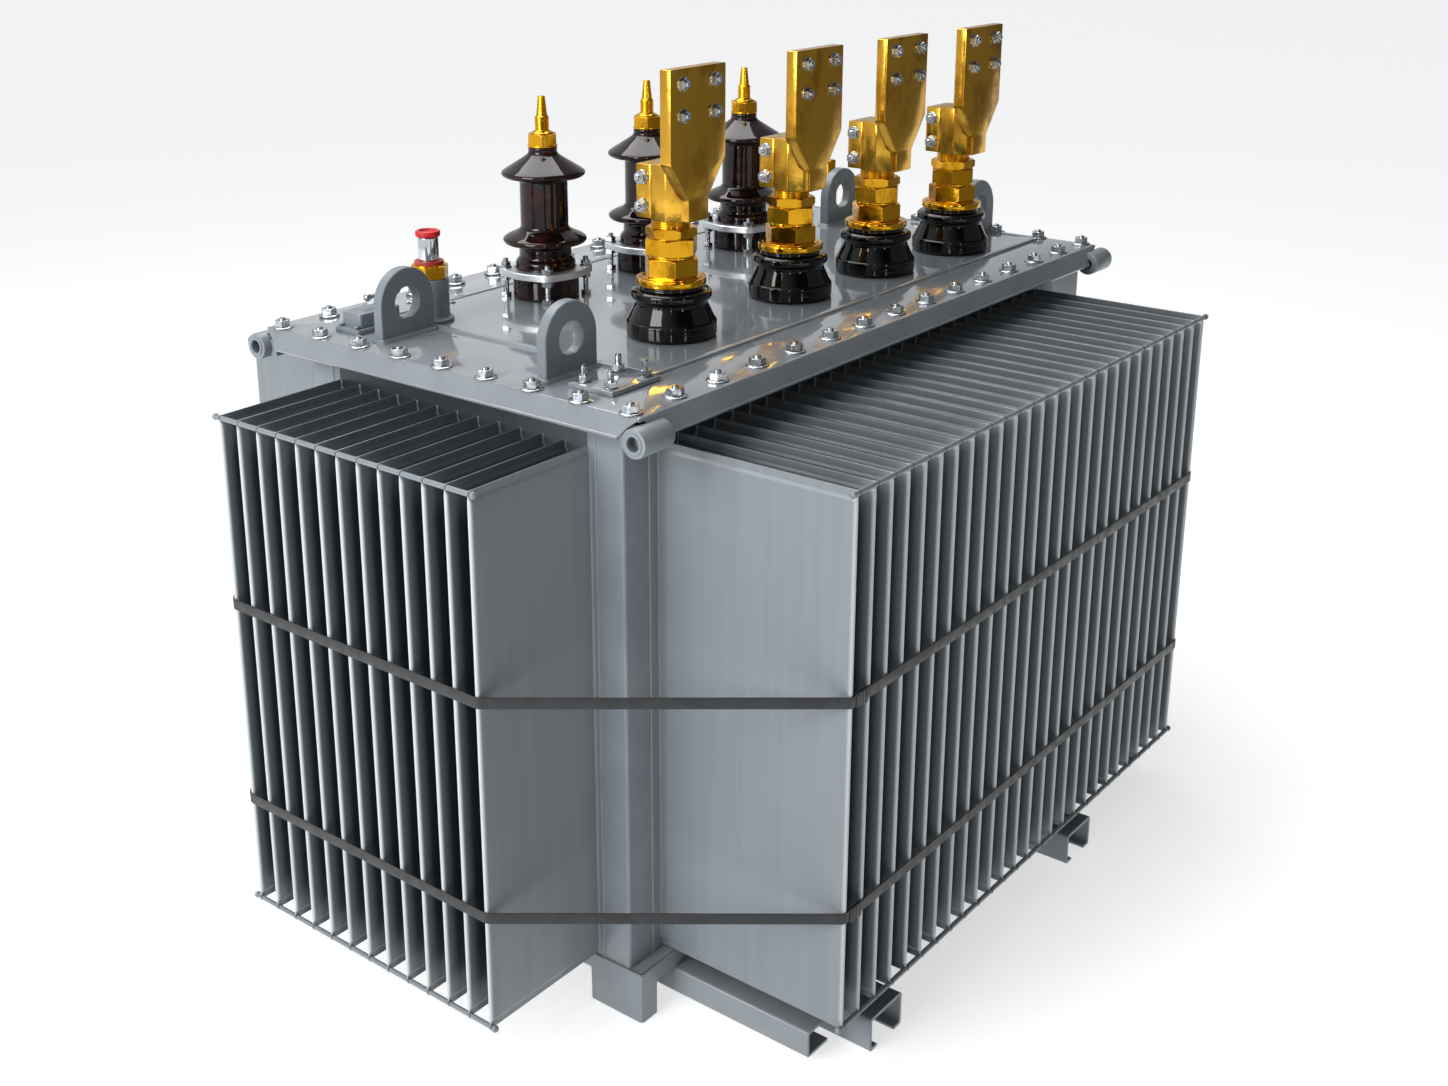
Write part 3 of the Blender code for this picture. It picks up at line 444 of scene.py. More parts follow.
@dataclass(frozen=True)
class Finish:
    """A finish: its name, record slot, colour and gloss, and the nodes that vary them."""

    name: str
    slot: Slot
    colour: str
    second: str
    roughness: float
    metallic: float = 0.0
    ior: float = 1.5
    coat: float = 0.0

    def material(self) -> bpy.types.Material:
        """The finish as a material, made once."""
        found = bpy.data.materials.get(self.name)
        if found:
            return found
        made = bpy.data.materials.new(self.name)
        made.use_nodes = True
        tree = made.node_tree
        shader = tree.nodes["Principled BSDF"]
        shader.inputs["Base Color"].default_value = linear(self.colour)
        shader.inputs["Roughness"].default_value = self.roughness
        shader.inputs["Metallic"].default_value = self.metallic
        if not self.metallic:
            shader.inputs["IOR"].default_value = self.ior
        if self.coat:
            shader.inputs["Coat Weight"].default_value = self.coat
            shader.inputs["Coat Roughness"].default_value = 0.04
        self.dress(tree, shader)
        return made

    def dress(self, tree: bpy.types.NodeTree, shader: bpy.types.Node) -> None:
        """Adds the finish's own detail to the shader."""
        tone = self.grain(tree, 0.12)
        self.tint(tree, shader, tone)

    def grain(
        self,
        tree: bpy.types.NodeTree,
        size: float,
        stretch: Place = (1.0, 1.0, 1.0),
        detail: float = 3.0,
    ) -> bpy.types.NodeSocket:
        """Soft blotches.

        Args:
            tree: The material's tree.
            size: Size of a blotch in metres.
            stretch: How much longer than size the blotches are along X, Y and Z.
            detail: Octaves of finer blotches.

        Returns:
            A socket from 0 to 1, near 0.5 on average.
        """
        place = add_node(tree, "ShaderNodeTexCoord")
        scale = tuple(1.0 / (size * along) for along in stretch)
        turned = add_node(
            tree,
            "ShaderNodeMapping",
            values={"Scale": scale},
            links={"Vector": place.outputs["Object"]},
        )
        noise = add_node(
            tree,
            "ShaderNodeTexNoise",
            values={"Scale": 1.0, "Detail": detail, "Roughness": 0.55},
            links={"Vector": turned.outputs["Vector"]},
        )
        return noise.outputs["Fac"]

    def span(
        self,
        tree: bpy.types.NodeTree,
        source: bpy.types.NodeSocket,
        low: float,
        high: float,
        start: float = 0.35,
        end: float = 0.65,
    ) -> bpy.types.NodeSocket:
        """Maps a socket's start to end onto low to high, smoothly."""
        node = add_node(
            tree,
            "ShaderNodeMapRange",
            {"interpolation_type": "SMOOTHSTEP"},
            {"From Min": start, "From Max": end, "To Min": low, "To Max": high},
            {"Value": source},
        )
        return node.outputs["Result"]

    def tint(
        self,
        tree: bpy.types.NodeTree,
        shader: bpy.types.Node,
        factor: bpy.types.NodeSocket,
        start: float = 0.35,
        end: float = 0.65,
    ) -> bpy.types.NodeSocket:
        """Blends the finish's two colours by a factor, into the shader; returns the colour."""
        mix = add_node(
            tree,
            "ShaderNodeMix",
            {"data_type": "RGBA"},
            {6: linear(self.colour), 7: linear(self.second)},
            {0: self.span(tree, factor, 0.0, 1.0, start, end)},
        )
        tree.links.new(mix.outputs[2], shader.inputs["Base Color"])
        return mix.outputs[2]

    def relief(
        self,
        tree: bpy.types.NodeTree,
        shader: bpy.types.Node,
        heights: Sequence[tuple[bpy.types.NodeSocket, float]],
    ) -> None:
        """Chains bumps into the shader's normal, each a height socket and a depth in metres."""
        normal = None
        for height, depth in heights:
            bump = add_node(
                tree,
                "ShaderNodeBump",
                values={"Strength": 1.0, "Distance": depth},
                links={"Height": height},
            )
            if normal is not None:
                tree.links.new(normal, bump.inputs["Normal"])
            normal = bump.outputs["Normal"]
        tree.links.new(normal, shader.inputs["Normal"])


@dataclass(frozen=True)
class Enamel(Finish):
    """Sprayed two-pack enamel on steel sheet: even satin grey with a faint orange peel.

    The sheet under it is never quite flat, so broad waves bend its reflections, and the gloss
    drifts a little from place to place.  The peel's real 2 mm is drawn at 5 mm to show.
    """

    wave: float = 0.0012
    wave_size: float = 0.30
    peel: float = 0.00004
    drift: float = 0.05

    def dress(self, tree: bpy.types.NodeTree, shader: bpy.types.Node) -> None:
        """Adds tone, gloss drift, waves and peel."""
        self.tint(tree, shader, self.grain(tree, 0.09))
        gloss = self.span(
            tree,
            self.grain(tree, 0.05, detail=5.0),
            self.roughness - self.drift,
            self.roughness + self.drift,
        )
        tree.links.new(gloss, shader.inputs["Roughness"])
        wave = self.grain(tree, self.wave_size, (1.0, 1.0, 1.6), 1.0)
        peel = self.grain(tree, 0.005, detail=1.0)
        self.relief(tree, shader, ((wave, self.wave), (peel, self.peel)))


@dataclass(frozen=True)
class FlowCoat(Finish):
    """Flow-coated enamel on the fins: satin grey that ran down, leaving long faint streaks.

    A point attribute darkens it between the fins with painted shade, and lightens it on
    the tips with a painted highlight.
    """

    # Painted shade colour for deep in the gaps between the fins, and painted highlight colour for
    # the tips.
    painted_gap_shade: str = "#24292d"
    painted_tip_highlight: str = "#b4babe"

    def dress(self, tree: bpy.types.NodeTree, shader: bpy.types.Node) -> None:
        """Adds streaks 15 mm wide and half a metre long, waves and a fine peel."""
        streak = self.grain(tree, 0.015, (1.0, 1.0, 30.0), 2.0)
        colour = self.tint(tree, shader, streak, 0.3, 0.7)
        # Mixes in the painted shade where the point attribute is above 0 and the painted highlight
        # where it is below 0.
        painted_shade_highlight = add_node(tree, "ShaderNodeAttribute", {"attribute_name": "painted_shade_highlight"})
        for shade, start, end in ((self.painted_gap_shade, 0.0, 1.0), (self.painted_tip_highlight, 0.0, -1.0)):
            share = self.span(tree, painted_shade_highlight.outputs["Fac"], 0.0, 1.0, start, end)
            mix = add_node(
                tree, "ShaderNodeMix", {"data_type": "RGBA"}, {7: linear(shade)},
                {0: share, 6: colour},
            )
            colour = mix.outputs[2]
        tree.links.new(colour, shader.inputs["Base Color"])
        gloss = self.span(tree, streak, self.roughness - 0.02, self.roughness + 0.03)
        tree.links.new(gloss, shader.inputs["Roughness"])
        wave = self.grain(tree, 0.25, (1.0, 1.0, 2.0), 1.0)
        peel = self.grain(tree, 0.006, detail=1.0)
        self.relief(tree, shader, ((wave, 0.0008), (peel, 0.00003)))


@dataclass(frozen=True)
class Brass(Finish):
    """Machined brass, handled and part tarnished: bright yellow with brown-gold clouds.

    Tool marks run level round the turned parts; they are drawn 1.5 mm apart to show.
    """

    cloud: float = 0.035
    tarnish: float = 0.5
    marks: float = 0.00003

    def dress(self, tree: bpy.types.NodeTree, shader: bpy.types.Node) -> None:
        """Adds tarnish clouds, duller where they lie, pits and level tool marks."""
        cloud = self.grain(tree, self.cloud, (1.0, 1.0, 1.4), 5.0)
        self.tint(tree, shader, cloud, self.tarnish - 0.07, self.tarnish + 0.15)
        gloss = self.span(tree, cloud, self.roughness, self.roughness + 0.16, 0.4, 0.7)
        tree.links.new(gloss, shader.inputs["Roughness"])
        line = self.grain(tree, 0.0015, (30.0, 30.0, 1.0), 2.0)
        dent = self.grain(tree, 0.012, detail=2.0)
        self.relief(tree, shader, ((line, self.marks), (dent, 0.00025)))


@dataclass(frozen=True)
class Glaze(Finish):
    """Glazed porcelain: a deep glassy coat that breaks a little redder where it ran thin."""

    def dress(self, tree: bpy.types.NodeTree, shader: bpy.types.Node) -> None:
        """Adds the break in colour, throwing rings 9 mm apart and a soft wave in the glaze."""
        self.tint(tree, shader, self.grain(tree, 0.020, (2.0, 2.0, 1.0), 2.0), 0.45, 0.72)
        ring = self.grain(tree, 0.009, (12.0, 12.0, 1.0), 1.0)
        wave = self.grain(tree, 0.030, detail=1.0)
        self.relief(tree, shader, ((ring, 0.0001), (wave, 0.0004)))


@dataclass(frozen=True)
class Metal(Finish):
    """Bare metal surface with a grain: zinc-plated steel, cast aluminium or chrome plate.

    size is the grain in metres, depth its relief, and drift the change in gloss across it.
    """

    size: float = 0.006
    depth: float = 0.00005
    drift: float = 0.08
    stretch: Place = (1.0, 1.0, 1.0)

    def dress(self, tree: bpy.types.NodeTree, shader: bpy.types.Node) -> None:
        """Adds blotches of colour and gloss and the grain's relief."""
        blotch = self.grain(tree, self.size, self.stretch, 4.0)
        self.tint(tree, shader, blotch)
        gloss = self.span(
            tree, blotch, max(self.roughness - self.drift, 0.02), self.roughness + self.drift
        )
        tree.links.new(gloss, shader.inputs["Roughness"])
        fine = self.grain(tree, self.size * 0.5, self.stretch, 2.0)
        self.relief(tree, shader, ((fine, self.depth),))


@dataclass(frozen=True)
class Polymer(Finish):
    """Moulded or rolled plastic or rubber: even colour, fine texture, scuffs that dull it."""

    size: float = 0.004
    depth: float = 0.00008

    def dress(self, tree: bpy.types.NodeTree, shader: bpy.types.Node) -> None:
        """Adds the moulded texture, colour drift and scuffed gloss."""
        self.tint(tree, shader, self.grain(tree, self.size * 5.0))
        gloss = self.span(
            tree, self.grain(tree, 0.02, detail=5.0), self.roughness - 0.08, self.roughness + 0.1
        )
        tree.links.new(gloss, shader.inputs["Roughness"])
        self.relief(tree, shader, ((self.grain(tree, self.size), self.depth),))


@dataclass(frozen=True)
class Layered(Finish):
    """Stacked layers, as in a core's laminations or a winding's turns.

    stretch makes the grain long in the plane of the layers and thin across them.
    """

    size: float = 0.004
    stretch: Place = (40.0, 1.0, 40.0)
    depth: float = 0.0004

    def dress(self, tree: bpy.types.NodeTree, shader: bpy.types.Node) -> None:
        """Adds the layers' lines in colour, gloss and relief."""
        line = self.grain(tree, self.size, self.stretch, 2.0)
        self.tint(tree, shader, line)
        gloss = self.span(tree, line, self.roughness - 0.06, self.roughness + 0.1)
        tree.links.new(gloss, shader.inputs["Roughness"])
        self.relief(tree, shader, ((line, self.depth),))


TANK_ENAMEL = Enamel("tank_enamel", Slot.TANK, "#7d8489", "#777e84", 0.33)
LID_ENAMEL = Enamel(
    "lid_gloss_enamel", Slot.LID, "#7d8388", "#777d82", 0.15, coat=1.0, wave=0.0007,
    wave_size=0.22, drift=0.03, peel=0.00002,
)
LUG_ENAMEL = Enamel("lug_enamel", Slot.TANK, "#757c82", "#6f767c", 0.30, wave=0.0003)
FIN_ENAMEL = FlowCoat("fin_flow_enamel", Slot.FIN, "#757c81", "#71787d", 0.30)
WELD_PAINT = Metal("painted_weld", Slot.FIN, "#4d5357", "#3f4548", 0.45, size=0.003)
BRASS_TURNED = Brass(
    "turned_brass", Slot.BRASS, "#dfa424", "#bd8413", 0.14, 1.0, tarnish=0.55, marks=0.00001
)
BRASS_FLAT = Brass(
    "milled_brass", Slot.BRASS, "#d8a63c", "#a87a26", 0.17, 1.0, cloud=0.050, tarnish=0.52
)
BLACK_GLAZE = Glaze("black_glaze", Slot.LV_GLAZE, "#050506", "#0b0708", 0.05, ior=1.42)
BROWN_GLAZE = Glaze("brown_glaze", Slot.HV_GLAZE, "#140708", "#2c100e", 0.06, ior=1.44)
ZINC_PLATE = Metal("zinc_plated_steel", Slot.ZINC, "#c9cdd1", "#a3a8ad", 0.24, 1.0)
CAST_ALUMINIUM = Metal(
    "cast_aluminium", Slot.ALUMINIUM, "#b7bcc0", "#9da3a8", 0.42, 0.85, size=0.005, depth=0.0002
)
CHROME_PLATE = Metal(
    "chrome_plate", Slot.CHROME, "#d6d9dc", "#c3c7ca", 0.08, 1.0, drift=0.03,
    stretch=(8.0, 8.0, 1.0), depth=0.00001,
)
RED_POLYMER = Polymer("red_moulded_plastic", Slot.RED, "#c01219", "#a70c14", 0.32)
RUST_SEAL = Polymer("red_fibre_seal", Slot.RED, "#a8321c", "#8a2413", 0.45)
RUBBER = Polymer("nitrile_rubber", Slot.GASKET, "#1c1d1e", "#27292a", 0.72)
STRAP_POLYMER = Polymer(
    "black_strap", Slot.STRAP, "#151618", "#1f2022", 0.42, size=0.005, depth=0.0003
)
CORE_STEEL = Layered("laminated_core_steel", Slot.CORE, "#6a6d70", "#55585c", 0.4, 0.9)
COPPER = Layered(
    "enamelled_copper", Slot.COPPER, "#b0592b", "#8c421f", 0.3, 0.8, size=0.008,
    stretch=(30.0, 30.0, 1.0),
)
PRESSBOARD = Layered(
    "pressboard", Slot.PAPER, "#b28f5f", "#9c7a4c", 0.8, size=0.010, stretch=(20.0, 20.0, 1.0)
)


def make_piece(
    name: str,
    shells: Sequence[Shell],
    finish: Finish,
    stands_for: Sequence[str] = (),
    body: Body = Body.TANK,
    crease: float = 32.0,
    painted_shade_highlight: Array | None = None,
    edge: float = 0.0,
) -> bpy.types.Object:
    """Turns shells into one piece that rides on a body.

    Args:
        name: The piece's name.
        shells: Its closed surfaces, in place.
        finish: Its finish.
        stands_for: CAD nodes that it replaces.
        body: The body that it rides on.
        crease: Angle in degrees above which an edge stays sharp.
        painted_shade_highlight: One value for each point, from -1 for a painted highlight on a tip
            to 1 for painted shade deep in a gap.
        edge: Width of the bevel on the sharp edges, or 0 for none.

    Returns:
        The piece's object.
    """
    shell = joined(shells).moved(0.0, tank_middle(), 0.0)
    mesh = bpy.data.meshes.new(name)
    faces = [row for rows in shell.faces for row in rows.tolist()]
    mesh.from_pydata(shell.points.tolist(), [], faces)
    mesh.materials.append(finish.material())
    mesh.polygons.foreach_set("use_smooth", np.ones(len(mesh.polygons), bool))
    mesh.set_sharp_from_angle(angle=math.radians(crease))
    if painted_shade_highlight is not None:
        mesh.attributes.new("painted_shade_highlight", "FLOAT", "POINT").data.foreach_set("value", painted_shade_highlight)
    item = bpy.data.objects.new(name, mesh)
    if edge:
        bevel = item.modifiers.new("edge", "BEVEL")
        bevel.width = edge
        bevel.segments = 2
        bevel.limit_method = "ANGLE"
        bevel.angle_limit = BEVEL_ANGLE
        bevel.harden_normals = True
    bpy.context.scene.collection.objects.link(item)
    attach(item, body.value)
    if stands_for:
        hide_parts(*stands_for)
    REPORT.info("%s: %d faces, rides on %s", name, len(faces), body.value)
    return item


# ---------------------------------------------------------------- tank
class Side(Enum):
    """The tank's four sides, as the turn that takes the -Y side to each."""

    FRONT = 0.0
    REAR = math.pi
    LEFT = -math.pi / 2
    RIGHT = math.pi / 2


@dataclass
class FinBank:
    """One corrugated wall: hollow pressed fins, the sheet behind them and its tie rods."""

    side: Side
    fins: int
    reach: float
    pitch: float = 0.0473
    thickness: float = 0.008
    seam: float = 0.0028
    bottom: float = 0.095
    top: float = 0.995
    rod: float = 0.0042
    knob: float = 0.0060

    def __post_init__(self) -> None:
        """Reads the wall's box from the frame."""
        self.node = f"tank_wall_{self.side.name.lower()}"
        low, high = node_box(self.node)
        self.across = self.side in (Side.LEFT, Side.RIGHT)
        self.half = high.y if self.across else high.x
        self.tip = max(abs(low.x), abs(high.x)) if self.across else max(abs(low.y), abs(high.y))
        self.low, self.high = low.z, high.z

    def stations(self) -> Array:
        """Places of the fins along the wall."""
        return (np.arange(self.fins) - (self.fins - 1) / 2.0) * self.pitch

    def facing(self, shell: Shell) -> Shell:
        """Turns a shell from the -Y side to this side."""
        return shell.repeated(np.zeros((1, 3)), self.side.value)

    def fin_shell(self) -> tuple[Shell, Array]:
        """Every fin of the wall, and the painted shade or highlight of each point.

        A level loop runs out one side, round the tip's half circle and back.  Its half
        thickness h(z) is half the fin's in the middle and falls to the flattened seam over
        the last 19 mm at the top and the bottom, where the two sheets are welded.  Painted shade
        climbs with the distance from the tip, up to 60 mm in, and is less near the open top;
        the outermost few millimetres of each tip get a painted highlight instead.  The outer
        sides of the two end fins get no painted shade, only the painted highlight at the tip.

        Returns:
            The fins, and the painted shade or highlight of each of their points.
        """
        rise = np.array([0.0, 0.0008, 0.0105, 0.0125, 0.0150, 0.0190, 0.0700])
        half = np.array([0.25, 0.5, 0.5, 0.62, 0.9, 1.0, 1.0]) * self.seam
        half[4:] = np.array([0.42, 0.5, 0.5]) * self.thickness
        half = np.concatenate([half, half[::-1]])
        height = np.concatenate([self.bottom + rise, self.top - rise[::-1]])
        turn = np.linspace(0.0, np.pi, 7)
        u = half[:, None] * np.cos(turn)[None]
        v = self.tip - half[:, None] + half[:, None] * np.sin(turn)[None]
        flare = np.array([[0.0030, 0.0], [0.0008, 0.0015], [0.0, 0.0045]])
        root_u = half[:, None] + flare[None, :, 0]
        root_v = np.broadcast_to(self.reach + flare[None, :, 1], root_u.shape)
        side_v = self.tip - np.array([0.0600, 0.0250, 0.0080])
        side_u = np.broadcast_to(half[:, None], (len(half), 3))
        side_v = np.broadcast_to(side_v[None], side_u.shape)
        u = np.concatenate([root_u, side_u, u, -side_u, -root_u[:, ::-1]], axis=1)
        v = np.concatenate([root_v, side_v, v, side_v[:, ::-1], root_v[:, ::-1]], axis=1)
        level = np.broadcast_to(height[:, None], u.shape)
        one = loft(np.stack([u, -v, level], axis=-1))
        places = np.zeros((self.fins, 3))
        places[:, 0] = self.stations()
        bank = one.repeated(places)
        out = (-bank.points[:, 1] - self.reach) / (self.tip - self.reach)
        lean = np.random.default_rng(self.fins).normal(0.0, 0.0005, self.fins)
        bank.points[:, 0] += np.repeat(lean, len(one.points)) * out
        tip = self.tip + one.points[:, 1]
        # Painted shade grows from the tip into the gap; negative values near the tip are a painted
        # highlight.
        deep = np.interp(tip, [0.0, 0.0030, 0.0080, 0.0250, 0.0600], [-1.0, -0.6, 0.1, 0.8, 1.0])
        above = self.top - one.points[:, 2]
        # Less painted shade near the open top, where more light reaches into the gaps.
        deep *= np.where(deep > 0.0, np.interp(above, [0.0, 0.0190, 0.0700], [0.4, 0.55, 1.0]), 1.0)
        # The outer sides of the end fins get only the painted highlight at the tip.
        outer = np.interp(tip, [0.0, 0.0030, 0.0080], [-1.0, -0.5, 0.0])
        painted_shade_highlight = np.tile(deep, (self.fins, 1))
        painted_shade_highlight[0] = np.where(one.points[:, 0] < 0.0, outer, deep)
        painted_shade_highlight[-1] = np.where(one.points[:, 0] > 0.0, outer, deep)
        return bank, painted_shade_highlight.ravel()

    def sheets(self) -> list[Shell]:
        """Flat sheet behind the fins and beside them, from the base to the flange."""
        end = self.stations()[-1]
        spans = ((-self.half, -end), (-end, end), (end, self.half))
        back = 0.0015 - self.reach
        return [
            block((left, -self.reach, self.low), (right, back, self.high), 0.0003)
            for left, right in spans
        ]

    def rods(self) -> Shell:
        """Round rods along the upper and lower outer edges, with knobs on their ends."""
        end = self.stations()[-1] + 0.0095
        depth = self.tip - 0.0012
        bar = lathe([(self.rod, -end), (self.rod, end)], 12).aimed((1.0, 0.0, 0.0))
        knob = ball(self.knob)
        levels = (self.bottom + self.rod, self.top - self.rod)
        places = np.array([(0.0, -depth, z) for z in levels])
        ends = np.array([(sx * end, -depth, z) for z in levels for sx in (-1, 1)])
        return joined([bar.repeated(places), knob.repeated(ends)])

    def welds(self) -> Shell:
        """A bead where each rod crosses a fin: a ball flattened along the rod."""
        bead = ball(self.rod * 1.28, 8, 5)
        bead = Shell(bead.points * np.array([0.55, 1.0, 1.0]), bead.faces)
        depth = self.tip - 0.0012
        levels = (self.bottom + self.rod, self.top - self.rod)
        stations = self.stations()
        u, z = np.meshgrid(stations + self.thickness * 0.5, np.array(levels))
        return bead.repeated(np.stack([u.ravel(), np.full(u.size, -depth), z.ravel()], axis=-1))

    def build(self) -> None:
        """Makes the wall's pieces."""
        name = self.side.name.lower()
        fins, painted_shade_highlight = self.fin_shell()
        sheets = self.sheets()
        # The sheet behind the fins gets full painted shade (1); the sheets beside them get none
        # (0).
        painted_shade_highlight = np.concatenate(
            [painted_shade_highlight] + [np.full(len(sheet.points), deep) for sheet, deep in zip(sheets, (0, 1, 0))]
        )
        wall = self.facing(joined([fins, *sheets]))
        make_piece(f"cooling_fins_{name}", [wall], FIN_ENAMEL, [self.node], painted_shade_highlight=painted_shade_highlight)
        make_piece(f"tie_rods_{name}", [self.facing(self.rods())], FIN_ENAMEL)
        make_piece(f"tie_rod_welds_{name}", [self.facing(self.welds())], WELD_PAINT)


@dataclass
class TankShell:
    """Corner posts, base, skids and rails of the tank."""

    post_sheet: float = 0.005
    bend: float = 0.006
    skirt: float = 0.030
    base_sheet: float = 0.006
    foot_x: float = 0.039
    foot_y: float = 0.110
    lip: float = 0.022
    channel_sheet: float = 0.005

    def posts(self) -> None:
        """Makes each post as an L section with a bent outer corner, and its seam welds."""
        for end, sy in (("front", -1), ("rear", 1)):
            for side, sx in (("left", -1), ("right", 1)):
                node = f"corner_post_{end}_{side}"
                low, high = node_box(node)
                far_x, far_y = max(abs(low.x), abs(high.x)), max(abs(low.y), abs(high.y))
                near_x, near_y = min(abs(low.x), abs(high.x)), min(abs(low.y), abs(high.y))
                t = self.post_sheet
                corners = np.array([
                    (far_x, far_y), (near_x, far_y), (near_x, far_y - t),
                    (far_x - t, far_y - t), (far_x - t, near_y), (far_x, near_y),
                ])
                reach = np.array([self.bend, 0.0008, 0.0008, 0.002, 0.0008, 0.0008])
                outline = soften(corners, reach, 4) * np.array([sx, sy])
                if sx * sy < 0:
                    outline = outline[::-1]
                shell = prism(outline, low.z, high.z, 0.0006)
                beads = [
                    self.bead((sx * (near_x + 0.001), sy * far_y), low.z, high.z - 0.002),
                    self.bead((sx * far_x, sy * (near_y + 0.001)), low.z, high.z - 0.002),
                ]
                make_piece(f"corner_post_plate_{end}_{side}", [shell, *beads], TANK_ENAMEL,
                           [node])

    def bead(self, place: tuple[float, float], low: float, high: float) -> Shell:
        """Upright weld bead: a thin rod whose radius ripples every 5 mm of its height."""
        height = np.linspace(low, high, 240)
        radius = 0.0016 + 0.0004 * np.abs(np.sin(height * np.pi / 0.005))
        return lathe(np.stack([radius, height], axis=-1), 6).moved(*place, 0.0)

    def base(self) -> None:
        """Makes the folded base.

        The skirt's section runs round the base's outline; its lower edge drops from the
        skirt's depth to the ground within each foot's two legs.
        """
        low, high = node_box("tank_base")
        x, y, top = high.x, high.y, high.z
        foot_x, foot_y = x - self.foot_x, y - self.foot_y
        step = 0.0006
        quarter = np.array([
            (foot_x - step, y), (foot_x, y), (x - self.bend, y), (x - 0.0018, y - 0.0018),
            (x, y - self.bend), (x, foot_y), (x, foot_y - step),
        ])
        down = np.array([0, 1, 1, 1, 1, 1, 0], float)
        back = quarter[::-1]
        outline = np.vstack([quarter[::-1], back[::-1] * (-1, 1), -quarter[::-1],
                             back[::-1] * (1, -1)])
        down = np.tile(down, 4)
        bottom = top - self.skirt - down * (top - self.skirt - low.z)
        inner = drawn_in(outline, (self.base_sheet,))[0]
        edge = 0.0010
        shoulder, inner_edge = drawn_in(outline, (edge, self.base_sheet - edge))
        loops = [
            (outline, top - 0.002), (outline, bottom + edge), (shoulder, bottom),
            (inner_edge, bottom), (inner, bottom + edge), (inner, top - 0.002),
            (inner_edge, top), (drawn_in(outline, (0.002,))[0], top),
        ]
        rings = np.stack(
            [
                np.concatenate([loop, np.broadcast_to(z, len(loop))[:, None]], axis=1)
                for loop, z in loops
            ],
        )
        skirt = loft(rings, wrap=True)
        pan = block((-x + 0.003, -y + 0.003, top - self.base_sheet),
                    (x - 0.003, y - 0.003, top), 0.0006)
        make_piece("base_pan_and_feet", [skirt, pan], TANK_ENAMEL, ["tank_base"])

    def channels(self) -> None:
        """Makes the lipped skids and the plain rails as bent sections carried along Y."""
        for side in ("left", "right"):
            low, high = node_box(f"skid_channel_{side}")
            middle, half = (low.x + high.x) / 2, (high.x - low.x) / 2
            t, lip = self.channel_sheet, half - self.lip
            section = np.array([
                (-half, 0.0), (-lip, 0.0), (-lip, t), (t - half, t), (t - half, high.z - t),
                (half - t, high.z - t), (half - t, t), (lip, t), (lip, 0.0), (half, 0.0),
                (half, high.z), (-half, high.z),
            ])
            reach = np.array([6, 0.8, 0.8, 2, 2, 2, 2, 0.8, 0.8, 6, 6, 6]) * 0.001
            outline = soften(section, reach, 3)
            shell = prism(outline[::-1], low.y, high.y, 0.0005).upright().moved(middle, 0, 0)
            make_piece(f"skid_{side}", [shell], TANK_ENAMEL, [f"skid_channel_{side}"])
            self.rail(side)

    def rail(self, side: str) -> None:
        """Makes one rail: a web outside with two flanges that run inwards."""
        node = f"cross_rail_{side}"
        low, high = node_box(node)
        sign = 1 if side == "right" else -1
        web, inner = max(abs(low.x), abs(high.x)), min(abs(low.x), abs(high.x))
        t = self.channel_sheet
        section = np.array([
            (web, low.z), (web, high.z), (inner, high.z), (inner, high.z - t),
            (web - t, high.z - t), (web - t, low.z + t), (inner, low.z + t), (inner, low.z),
        ])
        outline = soften(section, np.array([6, 6, 0.8, 0.8, 2, 2, 0.8, 0.8]) * 0.001, 3)
        outline = outline * np.array([sign, 1.0])
        shell = prism(outline if sign > 0 else outline[::-1], low.y, high.y, 0.0005).upright()
        make_piece(f"rail_{side}", [shell], TANK_ENAMEL, [node])

    def build(self) -> None:
        """Makes every piece of the group."""
        self.posts()
        self.base()
        self.channels()


@dataclass
class Straps:
    """Two flat bands drawn round the fin tips, each with crimped seals."""

    width: float = 0.019
    thickness: float = 0.0016
    pitch: float = 0.0473
    long_fins: int = 27
    short_fins: int = 13

    def path(self, reach_x: float, front: float, rear: float) -> Array:
        """The band's middle line: straight over each bank, bent over the outermost tips."""
        long_end = self.pitch * (self.long_fins - 1) / 2 + 0.003
        short_end = self.pitch * (self.short_fins - 1) / 2 + 0.003
        corners = np.array([
            (reach_x, -short_end), (reach_x, short_end), (long_end, rear),
            (-long_end, rear), (-reach_x, short_end), (-reach_x, -short_end),
            (-long_end, -front), (long_end, -front),
        ])
        flat = soften(corners, 0.006, 5)
        return np.column_stack([flat, np.zeros(len(flat))])

    def build(self) -> None:
        """Makes both bands and their seals."""
        for name in ("lower_strap", "upper_strap"):
            low, high = node_box(name)
            middle = (low.z + high.z) / 2
            half = self.thickness / 2
            path = self.path(high.x - half, -low.y - half, high.y - half)
            path[:, 2] = middle
            flat = self.width / 2
            section = np.array([(-half, -flat), (half, -flat), (half, flat), (-half, flat)])
            band = sweep(path, soften(section, 0.0006, 2), closed=True)
            make_piece(f"{name}_band", [band], STRAP_POLYMER, [name], crease=50.0)
            self.seals(name, low.y, middle)

    def seals(self, name: str, front: float, middle: float) -> None:
        """Makes a crimped seal at the front left edge of each band."""
        seal = block((-0.016, -0.0022, -0.0115), (0.016, 0.0022, 0.0115), 0.0006, 0.002)
        notch = block((-0.0012, -0.0028, -0.0125), (0.0012, 0.0028, 0.0125), 0.0005)
        teeth = notch.repeated(np.array([(x, 0.0, 0.0) for x in (-0.009, 0.0, 0.009)]))
        end = self.pitch * (self.long_fins - 1) / 2
        place = np.array([(-end + 0.024, front, middle)])
        make_piece(f"{name}_seal", [joined([seal, teeth]).repeated(place)], STRAP_POLYMER)


